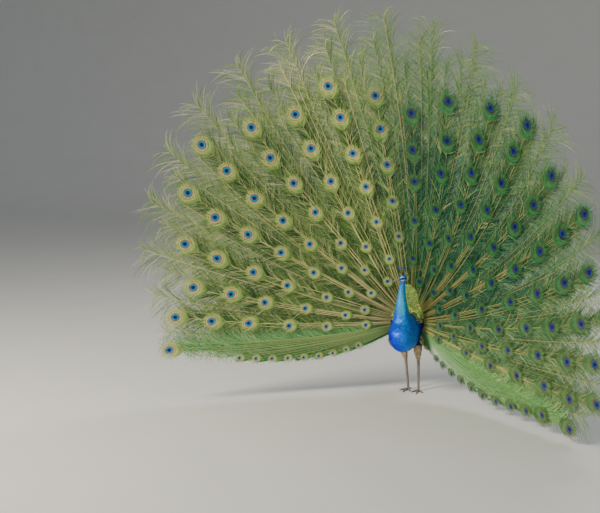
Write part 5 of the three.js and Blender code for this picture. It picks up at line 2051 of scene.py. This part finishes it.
# %% Measures of the legs
ANKLE_HEIGHT = 0.017
ANKLE_RADII = (0.0062, 0.0085)
ANKLE_BOTTOM = 0.005
SET_BACK = 0.003
SHANK_RADII = (0.0082, 0.006)
SPUR = {"place": 0.66, "length": 0.025, "rise": 0.005, "root": 0.0036, "tip": 0.0006}
FOOT_TURN = 0.12
TOE_SPREAD = 0.62
TOES = {"middle": (0.078, 0.005), "side": (0.056, 0.0046), "hind": (0.034, 0.0038)}
CLAW_SHARE = 0.2
TOE_SCUTE = 0.0042
TOE_STEP = 0.7 * MM
print("the longest toe is", round(1000 * TOES["middle"][0]), "mm")

# %% Scaly skin and claws
# Leg skin is dry, matt keratin, cracked into cells of about 2.4 mm and stained in patches of 17 mm.
# A claw is the same keratin, thicker, darker and worn smooth, with streaks of 3 mm.
LEG_CELL = 2.4 * MM
LEG_STAIN = 17 * MM
CLAW_STREAK = 3 * MM
leg_material, tree, shader = surface("scaly_leg", 0.6)
place = add_node(tree, COORDINATES).outputs["Object"]
cells = add_node(tree, "ShaderNodeTexVoronoi", {"Vector": place, "Scale": 1 / LEG_CELL})
stains = add_node(tree, NOISE, {"Vector": place, "Scale": 1 / LEG_STAIN, "Detail": 3.0})
tone = add_node(tree, MIX, [stains, "#6f685c", "#a8a08c"], **COLOURS)
cracks = add_node(tree, MATH, [cells, 0.5], **TIMES_CLAMPED)
link(tree, add_node(tree, MIX, [cracks, tone, "#3c372f"], **COLOURS), shader, "Base Color")
relief = add_node(tree, BUMP, {"Height": cells, "Strength": 0.5, "Distance": 0.6 * MM})
link(tree, relief, shader, "Normal")
print(leg_material.name, "has", len(tree.nodes), "nodes")
claw_material, *_ = mottled("claw_horn", 0.3, CLAW_STREAK, ("#1b1815", "#4a423a"), 3.0)


# %% Toes and claws
def toe_rings(origin, heading, length, radius, start, end, steps, sides=20):
    """Rings of a toe between two shares of its length: flat below, rounded above."""
    forward = np.array([math.sin(heading), -math.cos(heading), 0.0])
    across = np.array([math.cos(heading), math.sin(heading), 0.0])
    rings = []
    for t in np.linspace(start, end, steps + 1):
        knuckle = 0.92 + 0.14 * math.cos(t * 6 * math.pi) - 0.1 * t
        claw = mix(1, 0.1, np.clip((t - 1) / CLAW_SHARE + 1, 0, 1) ** 0.9)
        if start > 0:
            closing, scute = 0.74, 1.0
        else:
            closing = math.sqrt(max(0.05, 1 - (max(0.0, t - end + 0.06) / 0.06) ** 2))
            scute = 1 + 0.07 * abs(math.sin(math.pi * t * length / TOE_SCUTE))
        width = radius * mix(1.1, 0.8, t) * knuckle * claw * closing
        height = radius * mix(2.2, 1.5, t) * claw * closing * scute
        turn = np.linspace(0, 2 * math.pi, sides, endpoint=False)
        rise = np.sin(turn)
        z = height * np.where(rise > 0, 0.25 + 0.75 * np.abs(rise) ** 0.8, 0.25 * (1 + rise))
        points = origin + forward * (t * length) + across * (width * np.cos(turn))[:, None]
        rings.append(points + np.array([0.0, 0.0, 1.0]) * (z + 0.0001)[:, None])
    return rings


# %% The tree of the scutes
tree, entry, leave = new_tree(
    "scutes",
    ("Count", "NodeSocketInt"),
    ("Start", "NodeSocketVector"),
    ("End", "NodeSocketVector"),
    ("Radius", "NodeSocketFloat"),
)
count, start, end, radius, _ = entry.outputs
line = {"Count": count, "Start Location": start, "Offset": end}
line = add_node(tree, "GeometryNodeMeshLine", line, mode="END_POINTS")
flare = add_node(tree, MATH, [radius, 1.11], **TIMES)
scute = {"Vertices": 20, "Radius Top": radius, "Radius Bottom": flare, "Depth": 0.0056}
scute = add_node(tree, "GeometryNodeMeshCone", scute, fill_type="NONE")
index = add_node(tree, "GeometryNodeInputIndex")
share = add_node(tree, MATH, [index, count], **OVER)
taper = add_node(tree, MATH, [share, 0.25], **TIMES)
taper = add_node(tree, MATH, [1.0, taper], **TAKE)
rings = {"Points": line, "Instance": scute, "Scale": taper}
rings = add_node(tree, "GeometryNodeInstanceOnPoints", rings)
rings = add_node(tree, "GeometryNodeRealizeInstances", {"Geometry": rings})
rings = add_node(tree, "GeometryNodeSetMaterial", {"Geometry": rings, "Material": leg_material})
link(tree, rings, leave, "Geometry")
print("the scutes take", len(tree.nodes), "nodes")


# %% One leg
def shank_and_ankle(place, knee, bottom):
    """The bare shank and the swelling of the ankle over the foot."""
    ankle = np.array([place[0], place[1], ANKLE_HEIGHT])
    sole = np.array([place[0], place[1] - SET_BACK, ANKLE_BOTTOM])
    shank = limb_rings(mix(knee, bottom, -0.08), bottom, *SHANK_RADII, 24, 24)
    return loft(shank), loft(limb_rings(ankle, sole, *ANKLE_RADII, 6, 24))


def toes_and_claws(leg, claws, place, heading):
    """Three toes in front and one behind, each ending in a claw."""
    skin_end = 1 - CLAW_SHARE
    for kind, turn in (("middle", 0), ("side", TOE_SPREAD), ("side", -TOE_SPREAD), ("hind", math.pi)):
        length, radius = TOES[kind]
        toe = (place, heading + turn, length, radius)
        steps = int(length / TOE_STEP)
        leg.add(*loft(toe_rings(*toe, 0.0, skin_end + 0.02, steps)), (0.5, 0.5))
        claws.add(*loft(toe_rings(*toe, skin_end - 0.02, 1.0, 10)), (0.5, 0.5))


# %% Both legs
SCUTES = {"Count": 26, "Radius": 0.00795}
for side, name in SIDES:
    place, knee = FEET[name], knee_of(side, name)
    bottom = place + np.array([0.0, 0.0, ANKLE_HEIGHT - 0.001])
    leg, claws = Pile(), Pile()
    for points, faces in shank_and_ankle(place, knee, bottom):
        leg.add(points, faces, (0.5, 0.5))
    spur_root = mix(knee, bottom, SPUR["place"])
    spur_tip = spur_root + np.array([0, SPUR["length"], SPUR["rise"]])
    claws.add(*loft(limb_rings(spur_root, spur_tip, SPUR["root"], SPUR["tip"], 12, 16)), (0.5, 0.5))
    toes_and_claws(leg, claws, place, side * FOOT_TURN)
    bare_leg = leg.build(f"bare_leg_{name}", [leg_material], smooth=True, mapped=False)
    dress(bare_leg, "leg_skin", f"shank_{name}", f"foot_{name}")
    horn = claws.build(f"claws_{name}", [claw_material], smooth=True, mapped=False)
    dress(horn, "bill_horn")
    start, end = (tuple(mix(knee, bottom, along) + BIRD) for along in (0.03, 0.97))
    scutes = grown(f"scutes_{name}", tree, {**SCUTES, "Start": start, "End": end})
    dress(scutes, "leg_skin")
    print("the", name, "shank is", round(float(np.linalg.norm(knee - bottom)), 3), "m long")
